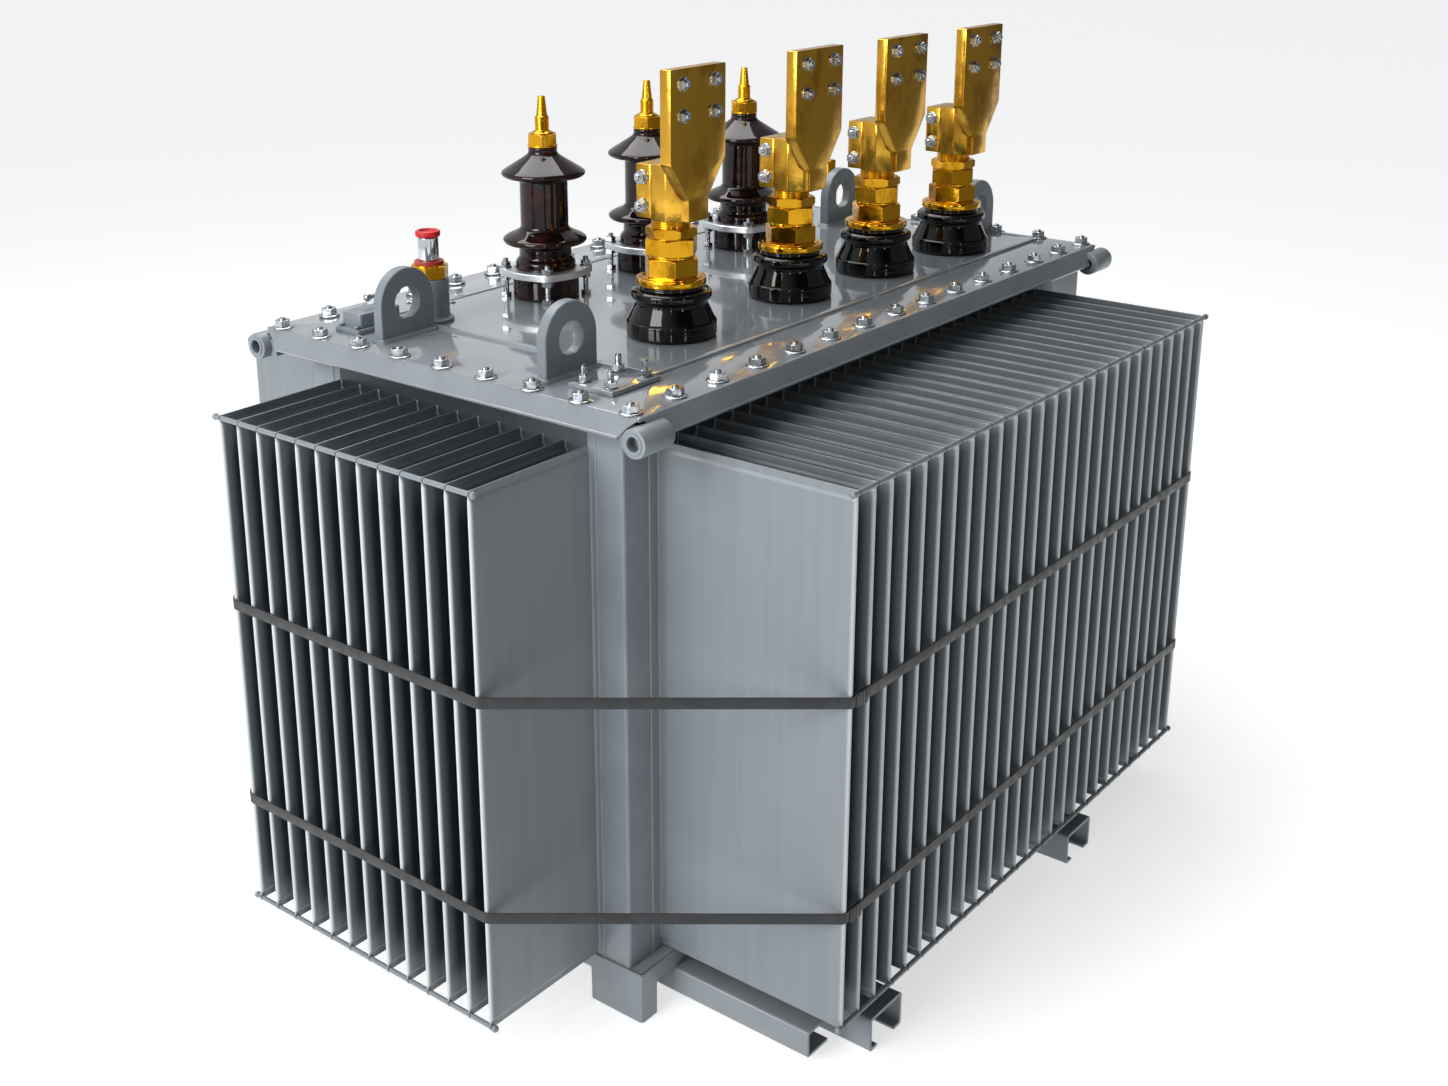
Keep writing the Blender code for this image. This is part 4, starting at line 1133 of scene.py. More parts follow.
# ---------------------------------------------------------------- lid
@dataclass
class Lid:
    """Flange, gasket, folded lid, cover nuts, lashing eyes and lifting lugs."""

    panel_x: tuple[float, float] = (-0.570, 0.720)
    panel_y: float = 0.305
    panel_raise: float = 0.003
    rim: float = 0.011
    sheet: float = 0.006
    flare: float = 0.012
    lip_cut_side: float = 0.050
    lip_cut_end: float = 0.032
    stud_x: float = 0.730
    stud_y: float = 0.395
    studs_along_x: int = 15
    studs_along_y: int = 9
    eye_outer: float = 0.023
    eye_bore: float = 0.0115
    eye_span: tuple[float, float] = (0.695, 0.765)
    eye_y: float = 0.428
    eye_z: float = 1.043
    nut_across: float = 0.0240
    nut_top: float = 0.0142
    nut_edge: float = 0.0006
    lip_sheet: float = 0.0035
    hem: float = 0.0030

    def __post_init__(self) -> None:
        """Reads the lid's box from the frame."""
        low, high = node_box("lid")
        self.x, self.y = high.x, high.y
        self.lip_bottom = low.z
        self.panel_top = high.z
        self.top = high.z - self.panel_raise

    def stud_places(self) -> Array:
        """Places of the cover studs, on the lid's top."""
        along = np.linspace(-self.stud_x, self.stud_x, self.studs_along_x)
        across = np.linspace(-self.stud_y, self.stud_y, self.studs_along_y)[1:-1]
        rows = [(x, sy * self.stud_y) for x in along for sy in (-1, 1)]
        ends = [(sx * self.stud_x, y) for y in across for sx in (-1, 1)]
        flat = np.array(rows + ends)
        return np.column_stack([flat, np.full(len(flat), self.top)])

    def top_plate(self) -> Shell:
        """The lid's sheet with its raised panel.

        Rings climb from the underside over the folded edge to the panel's rim, a flat strip
        that stands a little over the panel, and close on the panel.
        """
        def rectangle(x0: float, x1: float, y: float, corner: float) -> Array:
            """A rectangle from x0 to x1 and -y to y with softened corners."""
            corners = np.array([(x0, -y), (x1, -y), (x1, y), (x0, y)])
            return soften(corners, corner, 4)

        x0, x1 = self.panel_x
        y, rim, up = self.panel_y, self.rim, self.panel_raise
        fold = 0.0018
        wide, deep = self.x - self.flare, self.y - self.flare
        levels = [
            (rectangle(-wide, wide, deep, 0.004), self.top - self.sheet),
            (rectangle(-wide, wide, deep, 0.004), self.top - fold),
            (rectangle(-wide + 0.0005, wide - 0.0005, deep - 0.0005, 0.004),
             self.top - 0.0006),
            (rectangle(-wide + fold, wide - fold, deep - fold, 0.004), self.top),
            (rectangle(x0, x1, y, 0.008), self.top),
            (rectangle(x0 + 0.0012, x1 - 0.0012, y - 0.0012, 0.008), self.top + up + 0.0012),
            (rectangle(x0 + 0.0024, x1 - 0.0024, y - 0.0024, 0.008), self.top + up + 0.0018),
            (rectangle(x0 + rim, x1 - rim, y - rim, 0.006), self.top + up + 0.0018),
            (rectangle(x0 + rim + 0.001, x1 - rim - 0.001, y - rim - 0.001, 0.006),
             self.top + up),
        ]
        outlines = np.stack([outline for outline, _ in levels])
        return loft(at_heights(outlines, [height for _, height in levels]))

    def lips(self) -> Shell:
        """The four folded lips.

        A lip's section bends down from the lid's edge; each ring along it is drawn in towards
        the middle by the cut, which grows from nothing at the fold to its full length at the
        lower edge, so that the ends slant clear of the lashing eyes.
        """
        hem, depth = self.hem, self.top - self.lip_bottom
        down = np.array([0.0, 0.5, 0.9, 0.9, 0.5, 0.0]) * depth
        down[[0, -1]] = 0.0015
        out = (self.flare + 0.0020) * down / depth - self.flare + 0.0005
        out[3:] -= self.lip_sheet
        share = np.array([-1.0, -0.999, 0.0, 0.999, 1.0])
        shells = []
        for half, reach, angle, cut in (
            (self.x - self.flare, self.y, 0.0, self.lip_cut_side),
            (self.x - self.flare, self.y, math.pi, self.lip_cut_side),
            (self.y - self.flare, self.x, -math.pi / 2, self.lip_cut_end),
            (self.y - self.flare, self.x, math.pi / 2, self.lip_cut_end),
        ):
            short = np.clip((down - 0.004) / (0.6 * depth), 0.0, 1.0) * cut
            u = share[:, None] * (half - short)[None]
            v = np.broadcast_to(-(reach + out)[None], u.shape)
            z = np.broadcast_to((self.top - down)[None], u.shape)
            lip = loft(np.stack([u, v, z], axis=-1))
            end = half - cut
            roll = lathe([(hem * 0.7, -end), (hem, 0.001 - end), (hem, end - 0.001),
                          (hem * 0.7, end)], 12).aimed((1.0, 0.0, 0.0))
            roll = roll.moved(0.0, -reach + 0.0005, self.lip_bottom + hem)
            shells.append(joined([lip, roll]).repeated(np.zeros((1, 3)), angle))
        return joined(shells)

    def frame(self, x: float, y: float, width: float, bottom: float, top: float) -> Shell:
        """Flat rectangular frame: a section carried round the rectangle's middle line."""
        half = width / 2
        path = np.array([(-x, -y), (x, -y), (x, y), (-x, y)], float)
        path = soften(path - np.sign(path) * half, 0.003, 2)
        section = np.array([(-half, bottom), (half, bottom), (half, top), (-half, top)])
        path = np.column_stack([path, np.zeros(len(path))])
        return sweep(path, soften(section, 0.0008, 2), closed=True)

    def flange(self) -> None:
        """Makes the tank's flange, its lashing eyes and the gasket on it."""
        gasket_low, gasket_high = node_box("lid_gasket")
        x, y = self.x - 0.0115, self.y - 0.0115
        top = gasket_low.z - GAP
        plate = self.frame(x, y, 0.055, top - 0.012, top)
        hem = self.frame(x - 0.010, y - 0.010, 0.006, top - 0.0175, top - 0.011)
        eye = tube(self.eye_outer, self.eye_bore, *self.eye_span, 40)
        boss = tube(self.eye_outer * 0.72, self.eye_bore, self.eye_span[0] - 0.002,
                    self.eye_span[1] + 0.0018, 40)
        ring = joined([eye, boss])
        eyes = [
            ring.aimed((float(sx), 0.0, 0.0)).moved(0.0, sy * self.eye_y, self.eye_z)
            for sx in (-1, 1) for sy in (-1, 1)
        ]
        ear = block((self.eye_span[0], -0.018, -0.016), (self.eye_span[1] - 0.016, 0.020, 0.012),
                    0.0015, 0.003)
        ears = [
            Shell(ear.points * np.array([sx, -sy, 1.0]), ear.faces).outward()
            .moved(0.0, sy * (self.eye_y - 0.014), self.eye_z) for sx in (-1, 1) for sy in (-1, 1)
        ]
        make_piece("flange_and_eyes", [plate, hem, *eyes, *ears], TANK_ENAMEL,
                   ["tank_flange_front", "tank_flange_rear"])
        seal = self.frame(gasket_high.x, gasket_high.y, 0.026, gasket_low.z, gasket_high.z)
        make_piece("gasket", [seal], RUBBER, ["lid_gasket"])

    def nuts(self) -> None:
        """Makes the cover nuts: a wide flange that dishes up to a hexagon, with a stud end."""
        flange = lathe(
            [(0.0185, 0.0), (0.0190, 0.0010), (0.0178, 0.0024), (0.0142, 0.0036), (0.0100, 0.0040)],
            24,
        )
        head = nut(self.nut_across, 0.0034, self.nut_top, 24)
        stud = lathe([(0.0058, 0.0), (0.0058, 0.0165), (0.0044, 0.0180), (0.0015, 0.0184)], 12)
        places = self.stud_places()
        turns = np.random.default_rng(3).uniform(0.0, 1.0, len(places))
        fixing = joined([flange, head, stud]).repeated(places, turns)
        make_piece("cover_nuts", [fixing], ZINC_PLATE, edge=self.nut_edge)

    def lugs(self) -> None:
        """Makes the lugs: plates with a round top about the hole, on a rippled weld bead."""
        for name in ("front_left", "rear_left", "front_right", "rear_right"):
            node = f"lifting_lug_{name}"
            low, high = node_box(node)
            middle_x, middle_y = (low.x + high.x) / 2, (low.y + high.y) / 2
            radius, half = (high.x - low.x) / 2, (high.y - low.y) / 2
            angle = np.linspace(0.0, np.pi, 25)
            arch = radius * np.stack([np.cos(angle), np.sin(angle)], axis=-1)
            sides = radius * np.array([
                (-1.0, -0.35), (-1.0, -0.7), (-1.0, -1.0), (-0.4, -1.0), (0.4, -1.0), (1.0, -1.0),
                (1.0, -0.7), (1.0, -0.35),
            ])
            plate = pierced(np.vstack([arch, sides]), 0.0275, -half, half, 0.0014)
            plate = plate.upright().moved(middle_x, middle_y, low.z + radius)
            corners = np.array([
                (-radius, -half), (radius, -half), (radius, half), (-radius, half),
            ])
            make_piece(f"lug_{name}", [plate, self.weld(corners, (middle_x, middle_y, low.z))],
                       LUG_ENAMEL, [node])

    def weld(self, corners: Array, place: Place) -> Shell:
        """Fillet weld round a plate's foot: its size ripples every 5 mm along the path."""
        flat = soften(corners, 0.002, 2)
        length = np.linalg.norm(np.roll(flat, -1, axis=0) - flat, axis=1)
        start = np.concatenate([[0.0], np.cumsum(length)])
        along = np.linspace(0.0, start[-1], int(start[-1] / 0.0012), endpoint=False)
        loop = np.vstack([flat, flat[:1]])
        path = np.stack(
            [np.interp(along, start, loop[:, 0]), np.interp(along, start, loop[:, 1])], axis=-1
        )
        size = 0.0062 + 0.0006 * np.abs(np.sin(along * np.pi / 0.005))
        section = np.array([(-0.2, 0.0), (1.0, 0.0), (0.62, 0.42), (0.30, 0.78), (-0.2, 1.0)])
        side = np.roll(path, -1, axis=0) - np.roll(path, 1, axis=0)
        normal = np.stack([side[:, 1], -side[:, 0]], axis=-1)
        normal = normal / np.linalg.norm(normal, axis=1, keepdims=True)
        reach = size[:, None] * section[None, :, 0]
        level = size[:, None] * section[None, :, 1]
        flat_rings = path[:, None] + normal[:, None] * reach[..., None]
        return loft(np.concatenate([flat_rings, level[..., None]], -1), wrap=True).moved(*place)

    def build(self) -> None:
        """Makes every piece of the group."""
        self.flange()
        make_piece("lid_cover", [self.top_plate(), self.lips()], LID_ENAMEL, ["lid"])
        self.nuts()
        self.lugs()


# ---------------------------------------------------------------- bushings
@dataclass
class LowVoltageBushing:
    """One low-voltage bushing: glazed body, brass stack, clamp block, palm and bolts."""

    index: int
    stud: float = 0.018
    neck: float = 0.033
    block_bottom: float = 0.2005
    block_top: float = 0.293
    palm_top: float = 0.452
    palm_half: float = 0.0725
    palm_front: float = -0.058
    palm_thickness: float = 0.022

    def __post_init__(self) -> None:
        """Reads the bushing's place from the frame."""
        low, high = node_box(f"lv_insulator_{self.index}")
        self.x, self.y = (low.x + high.x) / 2, (low.y + high.y) / 2
        self.seat = node_box("lid")[1].z + GAP

    def put(self, *shells: Shell) -> list[Shell]:
        """Shells moved from the bushing's seat to its place."""
        return [shell.moved(self.x, self.y, self.seat) for shell in shells]

    def insulator(self) -> None:
        """Makes the glazed body: a foot, a cone, a bulge and a neck, turned."""
        profile = np.array([
            (0.0400, -0.0040), (0.0400, 0.0), (0.0740, 0.0), (0.0770, 0.0040),
            (0.0770, 0.0265), (0.0740, 0.0290), (0.0615, 0.0560), (0.0625, 0.0620),
            (0.0685, 0.0665), (0.0685, 0.0765), (0.0620, 0.0810), (0.0535, 0.0815),
            (0.0535, 0.0885), (0.0380, 0.0885),
        ])
        body = lathe(soften(profile, 0.0030, 4, closed=False), 64)
        make_piece(f"lv_glazed_body_{self.index}", self.put(body), BLACK_GLAZE,
                   [f"lv_insulator_{self.index}"], crease=50.0)

    def stack(self) -> None:
        """Makes the washer, two hexagon nuts, the lock nut and the neck."""
        washer = tube(0.0590, 0.0200, 0.0888, 0.1010, 56)
        cup = tube(0.0520, 0.0200, 0.1005, 0.1030, 56)
        nuts = [
            nut(0.0823, 0.1025, 0.1345, 72, 0.30),
            nut(0.0805, 0.1390, 0.1680, 72, 0.0),
            nut(0.0762, 0.1690, 0.1860, 72, 0.52),
        ]
        rings = [
            tube(0.0400, 0.0200, 0.1340, 0.1395, 48), tube(0.0385, 0.0200, 0.1675, 0.1695, 48),
        ]
        height = np.linspace(0.1855, 0.2015, 33)
        radius = self.neck - 0.0007 * np.abs(np.sin(height * np.pi / 0.003))
        neck = lathe(np.stack([radius, height], axis=-1), 48)
        stud = lathe([(self.stud, 0.0800), (self.stud, 0.1900)], 24)
        make_piece(f"lv_brass_stack_{self.index}",
                   self.put(washer, cup, *nuts, *rings, neck, stud), BRASS_TURNED,
                   [f"lv_stem_{self.index}"], edge=0.0007)

    def flag(self) -> None:
        """Makes the split clamp block and the tapered palm that stands on its front."""
        low, high = self.block_bottom, self.block_top
        front = np.array([
            (-0.026, -0.045), (0.026, -0.045), (0.040, -0.020), (0.040, 0.0095),
            (-0.040, 0.0095), (-0.040, -0.020),
        ])
        jaw = block((-0.0385, 0.0110, low + 0.0015), (0.0385, 0.0445, high - 0.0015), 0.0022,
                    0.004)
        core = block((-0.036, 0.004, low + 0.003), (0.036, 0.016, high - 0.004), 0.001)
        body = prism(soften(front, 0.0020, 3), low, high, 0.0014)
        half, waist = self.palm_half, 0.0265
        outline = np.array([
            (-waist, low + 0.0005), (waist, low + 0.0005), (waist, 0.238), (half, 0.300),
            (half, self.palm_top), (-half, self.palm_top), (-half, 0.300), (-waist, 0.238),
        ])
        reach = np.array([2, 2, 4, 4, 3, 3, 4, 4]) * 0.001
        front_y = self.palm_front
        palm = prism(soften(outline, reach, 3), front_y, front_y + self.palm_thickness, 0.0012)
        shells = self.put(body, jaw, core, palm.upright())
        make_piece(f"lv_clamp_and_palm_{self.index}", shells, BRASS_FLAT,
                   [f"lv_flag_{self.index}"])

    def bolts(self) -> None:
        """Makes the palm's four through bolts and the clamp's two cross bolts."""
        fixing = bolt(0.0185, 0.0075, 0.0058, 0.0150, 0.0125)
        front, rear = fixing.aimed((0, -1, 0)), fixing.aimed((0, 1, 0))
        back = self.palm_front + self.palm_thickness
        shells = []
        for x in (-0.042, 0.042):
            for z in (0.377, 0.428):
                shells += [front.moved(x, self.palm_front, z), rear.moved(x, back, z)]
        left, right = fixing.aimed((-1, 0, 0)), fixing.aimed((1, 0, 0))
        for z in (0.2225, 0.2700):
            shells += [left.moved(-0.0385, 0.030, z), right.moved(0.0385, 0.030, z)]
        make_piece(f"lv_bolts_{self.index}", self.put(*shells), ZINC_PLATE)

    def build(self) -> None:
        """Makes every piece of the bushing."""
        self.insulator()
        self.stack()
        self.flag()
        self.bolts()


@dataclass
class HighVoltageBushing:
    """One high-voltage bushing: glazed body with two sheds, clamp ring and terminal."""

    index: int
    ring_bottom: float = 0.041
    ring_thickness: float = 0.013
    ring_corner: float = 0.089
    ring_side: float = 0.079
    stud_circle: float = 0.0735

    def __post_init__(self) -> None:
        """Reads the bushing's place from the frame."""
        low, high = node_box(f"hv_insulator_{self.index}")
        self.x, self.y = (low.x + high.x) / 2, (low.y + high.y) / 2
        self.seat = node_box("lid")[1].z + GAP

    def put(self, *shells: Shell) -> list[Shell]:
        """Shells moved from the bushing's seat to its place."""
        return [shell.moved(self.x, self.y, self.seat) for shell in shells]

    def insulator(self) -> None:
        """Makes the glazed body with its two drooping sheds, turned."""
        profile = np.array([
            (0.0360, -0.0040), (0.0360, 0.0), (0.0600, 0.0), (0.0610, 0.0030),
            (0.0610, 0.0400), (0.0553, 0.0420), (0.0553, 0.0660), (0.0480, 0.0745),
            (0.0480, 0.0930), (0.0730, 0.1000), (0.0772, 0.1045), (0.0765, 0.1095),
            (0.0700, 0.1140), (0.0490, 0.1235), (0.0440, 0.1290), (0.0440, 0.2150),
            (0.0480, 0.2185), (0.0720, 0.2215), (0.0768, 0.2260), (0.0762, 0.2310),
            (0.0700, 0.2355), (0.0330, 0.2585), (0.0262, 0.2640), (0.0262, 0.2760),
            (0.0150, 0.2763),
        ])
        body = lathe(soften(profile, 0.0035, 4, closed=False), 64)
        make_piece(f"hv_glazed_body_{self.index}", self.put(body), BROWN_GLAZE,
                   [f"hv_insulator_{self.index}"], crease=50.0)

    def ring(self) -> None:
        """Makes the cast ring with four lobes and its nuts, washers and legs."""
        angle = np.arange(8) * np.pi / 4
        radius = np.where(np.arange(8) % 2, self.ring_corner, self.ring_side)
        corners = radius[:, None] * np.stack([np.cos(angle), np.sin(angle)], axis=-1)
        reach = np.where(np.arange(8) % 2, 0.014, 0.020)
        low, high = self.ring_bottom, self.ring_bottom + self.ring_thickness
        plate = pierced(soften(corners, reach, 6), 0.0558, low, high, 0.0016)
        make_piece(f"hv_clamp_plate_{self.index}", self.put(plate), CAST_ALUMINIUM,
                   [f"hv_clamp_ring_{self.index}"])
        upper = bolt(0.0175, 0.0085, 0.0050, 0.0175, 0.0115).moved(0, 0, high)
        lower = nut(0.0175, low - 0.0095, low - 0.0005, 24)
        leg = lathe([(0.0050, 0.0), (0.0050, high)], 12)
        foot = nut(0.0175, 0.0, 0.0080, 24)
        post = joined([upper, lower, leg, foot])
        turn = (np.arange(4) + 0.5) * np.pi / 2
        places = np.stack([
            self.stud_circle * np.cos(turn), self.stud_circle * np.sin(turn), np.zeros(4)
        ], axis=-1)
        fixing = post.repeated(places, turn)
        make_piece(f"hv_clamp_studs_{self.index}", self.put(fixing), ZINC_PLATE)

    def terminal(self) -> None:
        """Makes the hexagon cap, collar, barrel and pointed tip."""
        cap = nut(0.0500, 0.2763, 0.2990, 48, 0.2)
        washer = tube(0.0270, 0.0100, 0.2755, 0.2785, 40)
        profile = np.array([
            (0.0215, 0.2985), (0.0205, 0.3010), (0.0150, 0.3040), (0.0127, 0.3050),
            (0.0127, 0.3290), (0.0100, 0.3310), (0.0062, 0.3660), (0.0040, 0.3663),
        ])
        stem = lathe(soften(profile, 0.0012, 3, closed=False), 32)
        make_piece(f"hv_brass_tip_{self.index}", self.put(washer, cap, stem), BRASS_TURNED,
                   [f"hv_terminal_{self.index}"], edge=0.0004)

    def build(self) -> None:
        """Makes every piece of the bushing."""
        self.insulator()
        self.ring()
        self.terminal()


# ---------------------------------------------------------------- fittings
@dataclass
class Fittings:
    """Filler with its relief valve, thermometer pocket, tap changer and blanking plate."""

    def filler(self) -> None:
        """Makes the painted pipe, brass union, seal, chromed tube and red cap."""
        low, high = node_box("filler_pipe")
        x, y, seat = (low.x + high.x) / 2, (low.y + high.y) / 2, low.z
        profile = np.array([
            (0.0200, 0.0), (0.0400, 0.0), (0.0405, 0.0050), (0.0345, 0.0070), (0.0330, 0.0110),
            (0.0330, 0.0740), (0.0320, 0.0760), (0.0200, 0.0760),
        ])
        pipe = lathe(soften(profile, 0.0015, 3, closed=False), 48)
        pin = lathe([(0.0022, -0.040), (0.0022, 0.040)], 12)
        knobs = ball(0.0036).repeated(np.array([(0.0, 0.0, -0.040), (0.0, 0.0, 0.040)]))
        cross = joined([pin, knobs]).aimed((0.62, -0.78, 0.0)).moved(0.0, 0.0, 0.0300)
        make_piece("filler_neck", [pipe.moved(x, y, seat)], TANK_ENAMEL, ["filler_pipe"])
        make_piece("filler_locking_pin", [cross.moved(x, y, seat)], ZINC_PLATE)
        union = nut(0.0600, 0.0763, 0.0990, 60, 0.1)
        lip = tube(0.0290, 0.0150, 0.0985, 0.1005, 48)
        make_piece("filler_union", [joined([union, lip]).moved(x, y, seat)], BRASS_TURNED,
                   ["filler_union_nut"])
        seal = tube(0.0256, 0.0160, 0.0995, 0.1065, 48)
        make_piece("relief_seal", [seal.moved(x, y, seat)], RUST_SEAL)
        stem = np.array([
            (0.0100, 0.1000), (0.0180, 0.1000), (0.0180, 0.1470), (0.0172, 0.1480),
            (0.0150, 0.1480), (0.0100, 0.1460),
        ])
        make_piece("relief_tube", [lathe(soften(stem, 0.0006, 2), 56, True).moved(x, y, seat)],
                   CHROME_PLATE, ["relief_valve_tube"], crease=50.0)
        cap = np.array([
            (0.0060, 0.1486), (0.0205, 0.1486), (0.0220, 0.1510), (0.0220, 0.1572),
            (0.0200, 0.1592), (0.0158, 0.1592), (0.0140, 0.1555), (0.0040, 0.1550),
        ])
        make_piece(
            "relief_cap_moulding", [lathe(soften(cap, 0.0010, 3, False), 56).moved(x, y, seat)],
            RED_POLYMER, ["relief_valve_cap"], Body.CAP, 50.0,
        )

    def pocket(self) -> None:
        """Makes the brass thermometer pocket: hexagon, collar and knurled head."""
        low, high = node_box("thermometer_pocket")
        x, y = (low.x + high.x) / 2, (low.y + high.y) / 2
        seat = node_box("lid")[1].z + GAP
        body = nut(0.0330, 0.0, 0.0600, 36)
        profile = np.array([
            (0.0150, 0.0595), (0.0150, 0.0640), (0.0105, 0.0670), (0.0105, 0.0850),
            (0.0130, 0.0870), (0.0130, 0.1240), (0.0110, 0.1280), (0.0050, 0.1282),
        ])
        head = lathe(soften(profile, 0.0012, 3, closed=False), 36)
        make_piece("thermometer_well", [joined([body, head]).moved(x, y, seat)], BRASS_TURNED,
                   ["thermometer_pocket"])

    def tap_changer(self) -> None:
        """Makes the stepped housing with its screws, and the handle on its shaft."""
        low, high = node_box("tap_changer_housing")
        foot = block((low.x, low.y, low.z), (high.x, high.y, low.z + 0.009), 0.0010, 0.004)
        body = block((low.x + 0.012, low.y + 0.006, low.z + 0.008),
                     (high.x - 0.006, high.y - 0.006, high.z), 0.0020, 0.005)
        make_piece("tap_housing_casting", [foot, body], LUG_ENAMEL, ["tap_changer_housing"])
        screw = bolt(0.0080, 0.0040, 0.0025, 0.0060, 0.0055)
        places = np.array([
            (low.x + 0.0062, y, low.z + 0.009) for y in (low.y + 0.010, high.y - 0.010)
        ])
        make_piece("tap_housing_screws", [screw.repeated(places)], ZINC_PLATE)

        handle_low, handle_high = node_box("tap_changer_handle")
        x, y = (handle_low.x + handle_high.x) / 2, (handle_low.y + handle_high.y) / 2
        seat = high.z + GAP
        hub = np.array([
            (0.0060, 0.0), (0.0130, 0.0), (0.0130, 0.0050), (0.0105, 0.0075), (0.0105, 0.0240),
            (0.0090, 0.0275), (0.0030, 0.0280),
        ])
        turned = lathe(soften(hub, 0.0010, 3, closed=False), 36)
        bar = lathe([(0.0045, -0.034), (0.0045, 0.034)], 20).aimed((1, 0, 0))
        grips = ball(0.0070, 20, 13).repeated(np.array([(-0.034, 0, 0), (0.034, 0, 0)]))
        cross = joined([bar, grips]).moved(0.0, 0.0, 0.0195)
        shaft = lathe([(0.0062, -0.050), (0.0062, 0.010)], 20)
        make_piece("tap_handle_grip", [joined([turned, cross, shaft]).moved(x, y, seat)],
                   ZINC_PLATE, ["tap_changer_handle"], Body.HANDLE)

    def blanking_plate(self) -> None:
        """Makes the plate near the front corner with its four long studs and nuts."""
        low, high = node_box("blanking_plate")
        thickness, inset = 0.008, 0.018
        plate = block((low.x, low.y, low.z), (high.x, high.y, low.z + thickness), 0.0010, 0.003)
        make_piece("blanking_cover", [plate], LID_ENAMEL, ["blanking_plate"])
        fixing = bolt(0.0185, 0.0090, 0.0052, 0.0270, 0.0125)
        places = np.array([
            (x, y, low.z + thickness) for x in (low.x + inset, high.x - inset)
            for y in (low.y + inset, high.y - inset)
        ])
        make_piece("blanking_studs", [fixing.repeated(places, np.arange(4) * 0.4)], ZINC_PLATE)

    def build(self) -> None:
        """Makes every fitting."""
        self.filler()
        self.pocket()
        self.tap_changer()
        self.blanking_plate()


def dress_inside(nodes: dict[str, bpy.types.Object]) -> None:
    """Gives the CAD nodes inside the tank their finishes.

    Args:
        nodes: The frame's nodes by name.
    """
    finishes = {"core_frame": TANK_ENAMEL, "core": CORE_STEEL}
    finishes |= {f"lv_coil_{i}": COPPER for i in (1, 2, 3)}
    finishes |= {f"hv_coil_{i}": PRESSBOARD for i in (1, 2, 3)}
    for name, finish in finishes.items():
        for held in nodes[name].material_slots:
            held.material = finish.material()
        REPORT.info("%s: CAD node, finished in %s", name, finish.name)


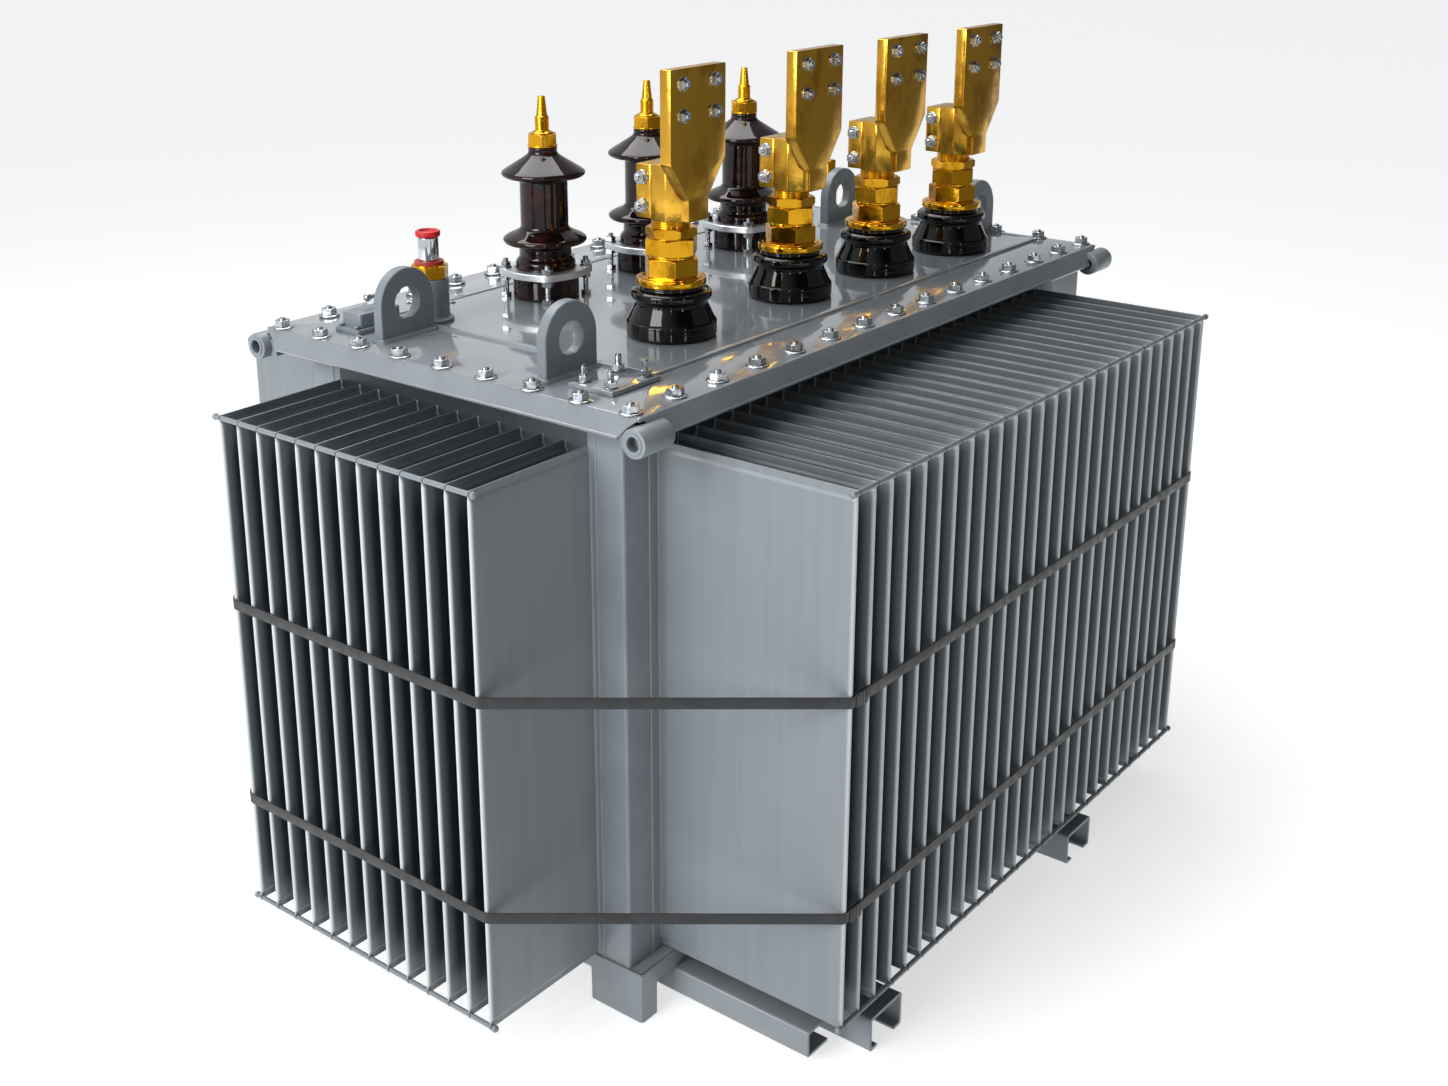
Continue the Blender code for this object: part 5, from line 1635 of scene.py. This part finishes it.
# ---------------------------------------------------------------- studio
@dataclass
class Studio:
    """Pale floor, soft lights and the camera."""

    camera_place: Place = (-2.543, -1.88725, 1.8415)
    yaw: float = 0.688
    pitch: float = -0.3034
    roll: float = -0.0079
    lens: float = 42.54
    shift: tuple[float, float] = (0.048, -0.100)
    paper_glow: float = 0.62
    surround: float = 0.75
    floor_half: float = 30.0

    def camera(self) -> None:
        """Makes the camera from its bearing, tilt and roll."""
        level = math.cos(self.pitch)
        ahead = Vector((level * math.cos(self.yaw), level * math.sin(self.yaw),
                        math.sin(self.pitch)))
        right = Vector((math.sin(self.yaw), -math.cos(self.yaw), 0.0))
        up = right.cross(ahead)
        cosine, sine = math.cos(self.roll), math.sin(self.roll)
        right, up = cosine * right + sine * up, cosine * up - sine * right
        data = bpy.data.cameras.new("camera")
        data.lens = self.lens
        data.shift_x, data.shift_y = self.shift
        data.clip_end = 100.0
        item = bpy.data.objects.new("camera", data)
        turn = Matrix((right, up, -ahead)).transposed()
        item.matrix_world = Matrix.Translation(self.camera_place) @ turn.to_4x4()
        bpy.context.scene.collection.objects.link(item)
        bpy.context.scene.camera = item

    def softbox(
        self, name: str, place: Place, aim: Place, size: tuple[float, float], power: float
    ) -> None:
        """Makes a rectangular light that looks at a point."""
        data = bpy.data.lights.new(name, "AREA")
        data.shape = "RECTANGLE"
        data.size, data.size_y = size
        data.energy = power
        item = bpy.data.objects.new(name, data)
        item.location = place
        towards = Vector(aim) - Vector(place)
        item.rotation_mode = "QUATERNION"
        item.rotation_quaternion = towards.to_track_quat("-Z", "Y")
        bpy.context.scene.collection.objects.link(item)

    def flag(self) -> None:
        """Makes a grey card that only reflections see, to give the bright metal its contrast."""
        mesh = bpy.data.meshes.new("studio_flag")
        mesh.from_pydata(
            [(0.2, -2.6, 0.05), (5.5, -2.2, 0.05), (5.5, -2.2, 3.2), (0.2, -2.6, 3.2)], [],
            [(0, 1, 2, 3)],
        )
        card = Polymer("grey_card", Slot.PAPER, "#6c6c6c", "#646464", 0.9)
        mesh.materials.append(card.material())
        item = bpy.data.objects.new("studio_flag", mesh)
        item.visible_camera = False
        item.visible_diffuse = False
        item.visible_shadow = False
        item.visible_transmission = False
        bpy.context.scene.collection.objects.link(item)

    def floor(self) -> None:
        """Makes the floor: matt white paper that glows a little, so that it stays pale."""
        mesh = bpy.data.meshes.new("studio_floor")
        half = self.floor_half
        mesh.from_pydata(
            [(-half, -half, 0.0), (half, -half, 0.0), (half, half, 0.0), (-half, half, 0.0)],
            [], [(0, 1, 2, 3)],
        )
        paper = Polymer("seamless_paper", Slot.PAPER, "#cfcfcf", "#cbcbcb", 0.9)
        material = paper.material()
        shader = material.node_tree.nodes["Principled BSDF"]
        shader.inputs["Specular IOR Level"].default_value = 0.1
        shader.inputs["Emission Color"].default_value = linear("#ffffff")
        shader.inputs["Emission Strength"].default_value = self.paper_glow
        mesh.materials.append(material)
        item = bpy.data.objects.new("studio_floor", mesh)
        bpy.context.scene.collection.objects.link(item)

    def world(self) -> None:
        """Makes the surroundings: white behind and above, darker towards the low-voltage side.

        The darker share grows with the direction's component along -Y and a little +X.
        """
        world = bpy.data.worlds.new("studio")
        world.use_nodes = True
        bpy.context.scene.world = world
        tree = world.node_tree
        tree.nodes.clear()
        place = add_node(tree, "ShaderNodeTexCoord")
        share = add_node(
            tree, "ShaderNodeVectorMath", {"operation": "DOT_PRODUCT"},
            {1: (0.35, -0.93, -0.10)}, {0: place.outputs["Generated"]},
        )
        dark = add_node(
            tree, "ShaderNodeMapRange", {"interpolation_type": "SMOOTHSTEP"},
            {"From Min": -0.45, "From Max": 0.60, "To Min": 0.0, "To Max": 1.0},
            {"Value": share.outputs["Value"]},
        )
        mix = add_node(
            tree, "ShaderNodeMix", {"data_type": "RGBA"},
            {6: linear("#f4f6f8"), 7: linear("#2b2e31")}, {0: dark.outputs["Result"]},
        )
        light = add_node(
            tree, "ShaderNodeBackground", values={"Strength": self.surround},
            links={"Color": mix.outputs[2]},
        )
        seen = add_node(
            tree, "ShaderNodeBackground", values={"Color": (1, 1, 1, 1), "Strength": 1.0}
        )
        path = add_node(tree, "ShaderNodeLightPath")
        both = add_node(
            tree, "ShaderNodeMixShader",
            links={0: path.outputs["Is Camera Ray"], 1: light.outputs[0], 2: seen.outputs[0]},
        )
        add_node(tree, "ShaderNodeOutputWorld", links={0: both.outputs[0]})

    def build(self) -> None:
        """Makes the whole studio."""
        scene = bpy.context.scene
        scene.view_settings.view_transform = "Standard"
        self.camera()
        self.floor()
        self.world()
        middle = (0.0, 0.0, 0.7)
        self.softbox("key_left", (-4.4, 0.4, 2.6), middle, (2.2, 2.6), 175.0)
        self.softbox("top", (0.2, 1.2, 4.2), middle, (3.2, 2.6), 120.0)
        self.softbox("front_strip", (-1.6, -4.4, 2.4), middle, (0.25, 1.6), 12.0)
        self.softbox("window_strip", (-3.6, -2.6, 2.8), middle, (0.16, 1.3), 9.0)
        self.flag()


def main() -> None:
    """Loads the frame, builds every sub-assembly in order and notes the sizes."""
    logging.basicConfig(level=logging.INFO, format="%(name)s: %(message)s")
    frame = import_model()
    Studio().build()
    FinBank(Side.FRONT, 27, 0.355).build()
    FinBank(Side.REAR, 27, 0.355).build()
    FinBank(Side.LEFT, 13, 0.7025).build()
    FinBank(Side.RIGHT, 13, 0.7025).build()
    TankShell().build()
    Straps().build()
    Lid().build()
    for index in (1, 2, 3, 4):
        LowVoltageBushing(index).build()
    for index in (1, 2, 3):
        HighVoltageBushing(index).build()
    Fittings().build()
    dress_inside(frame["nodes"])


if __name__ == "__main__":
    main()
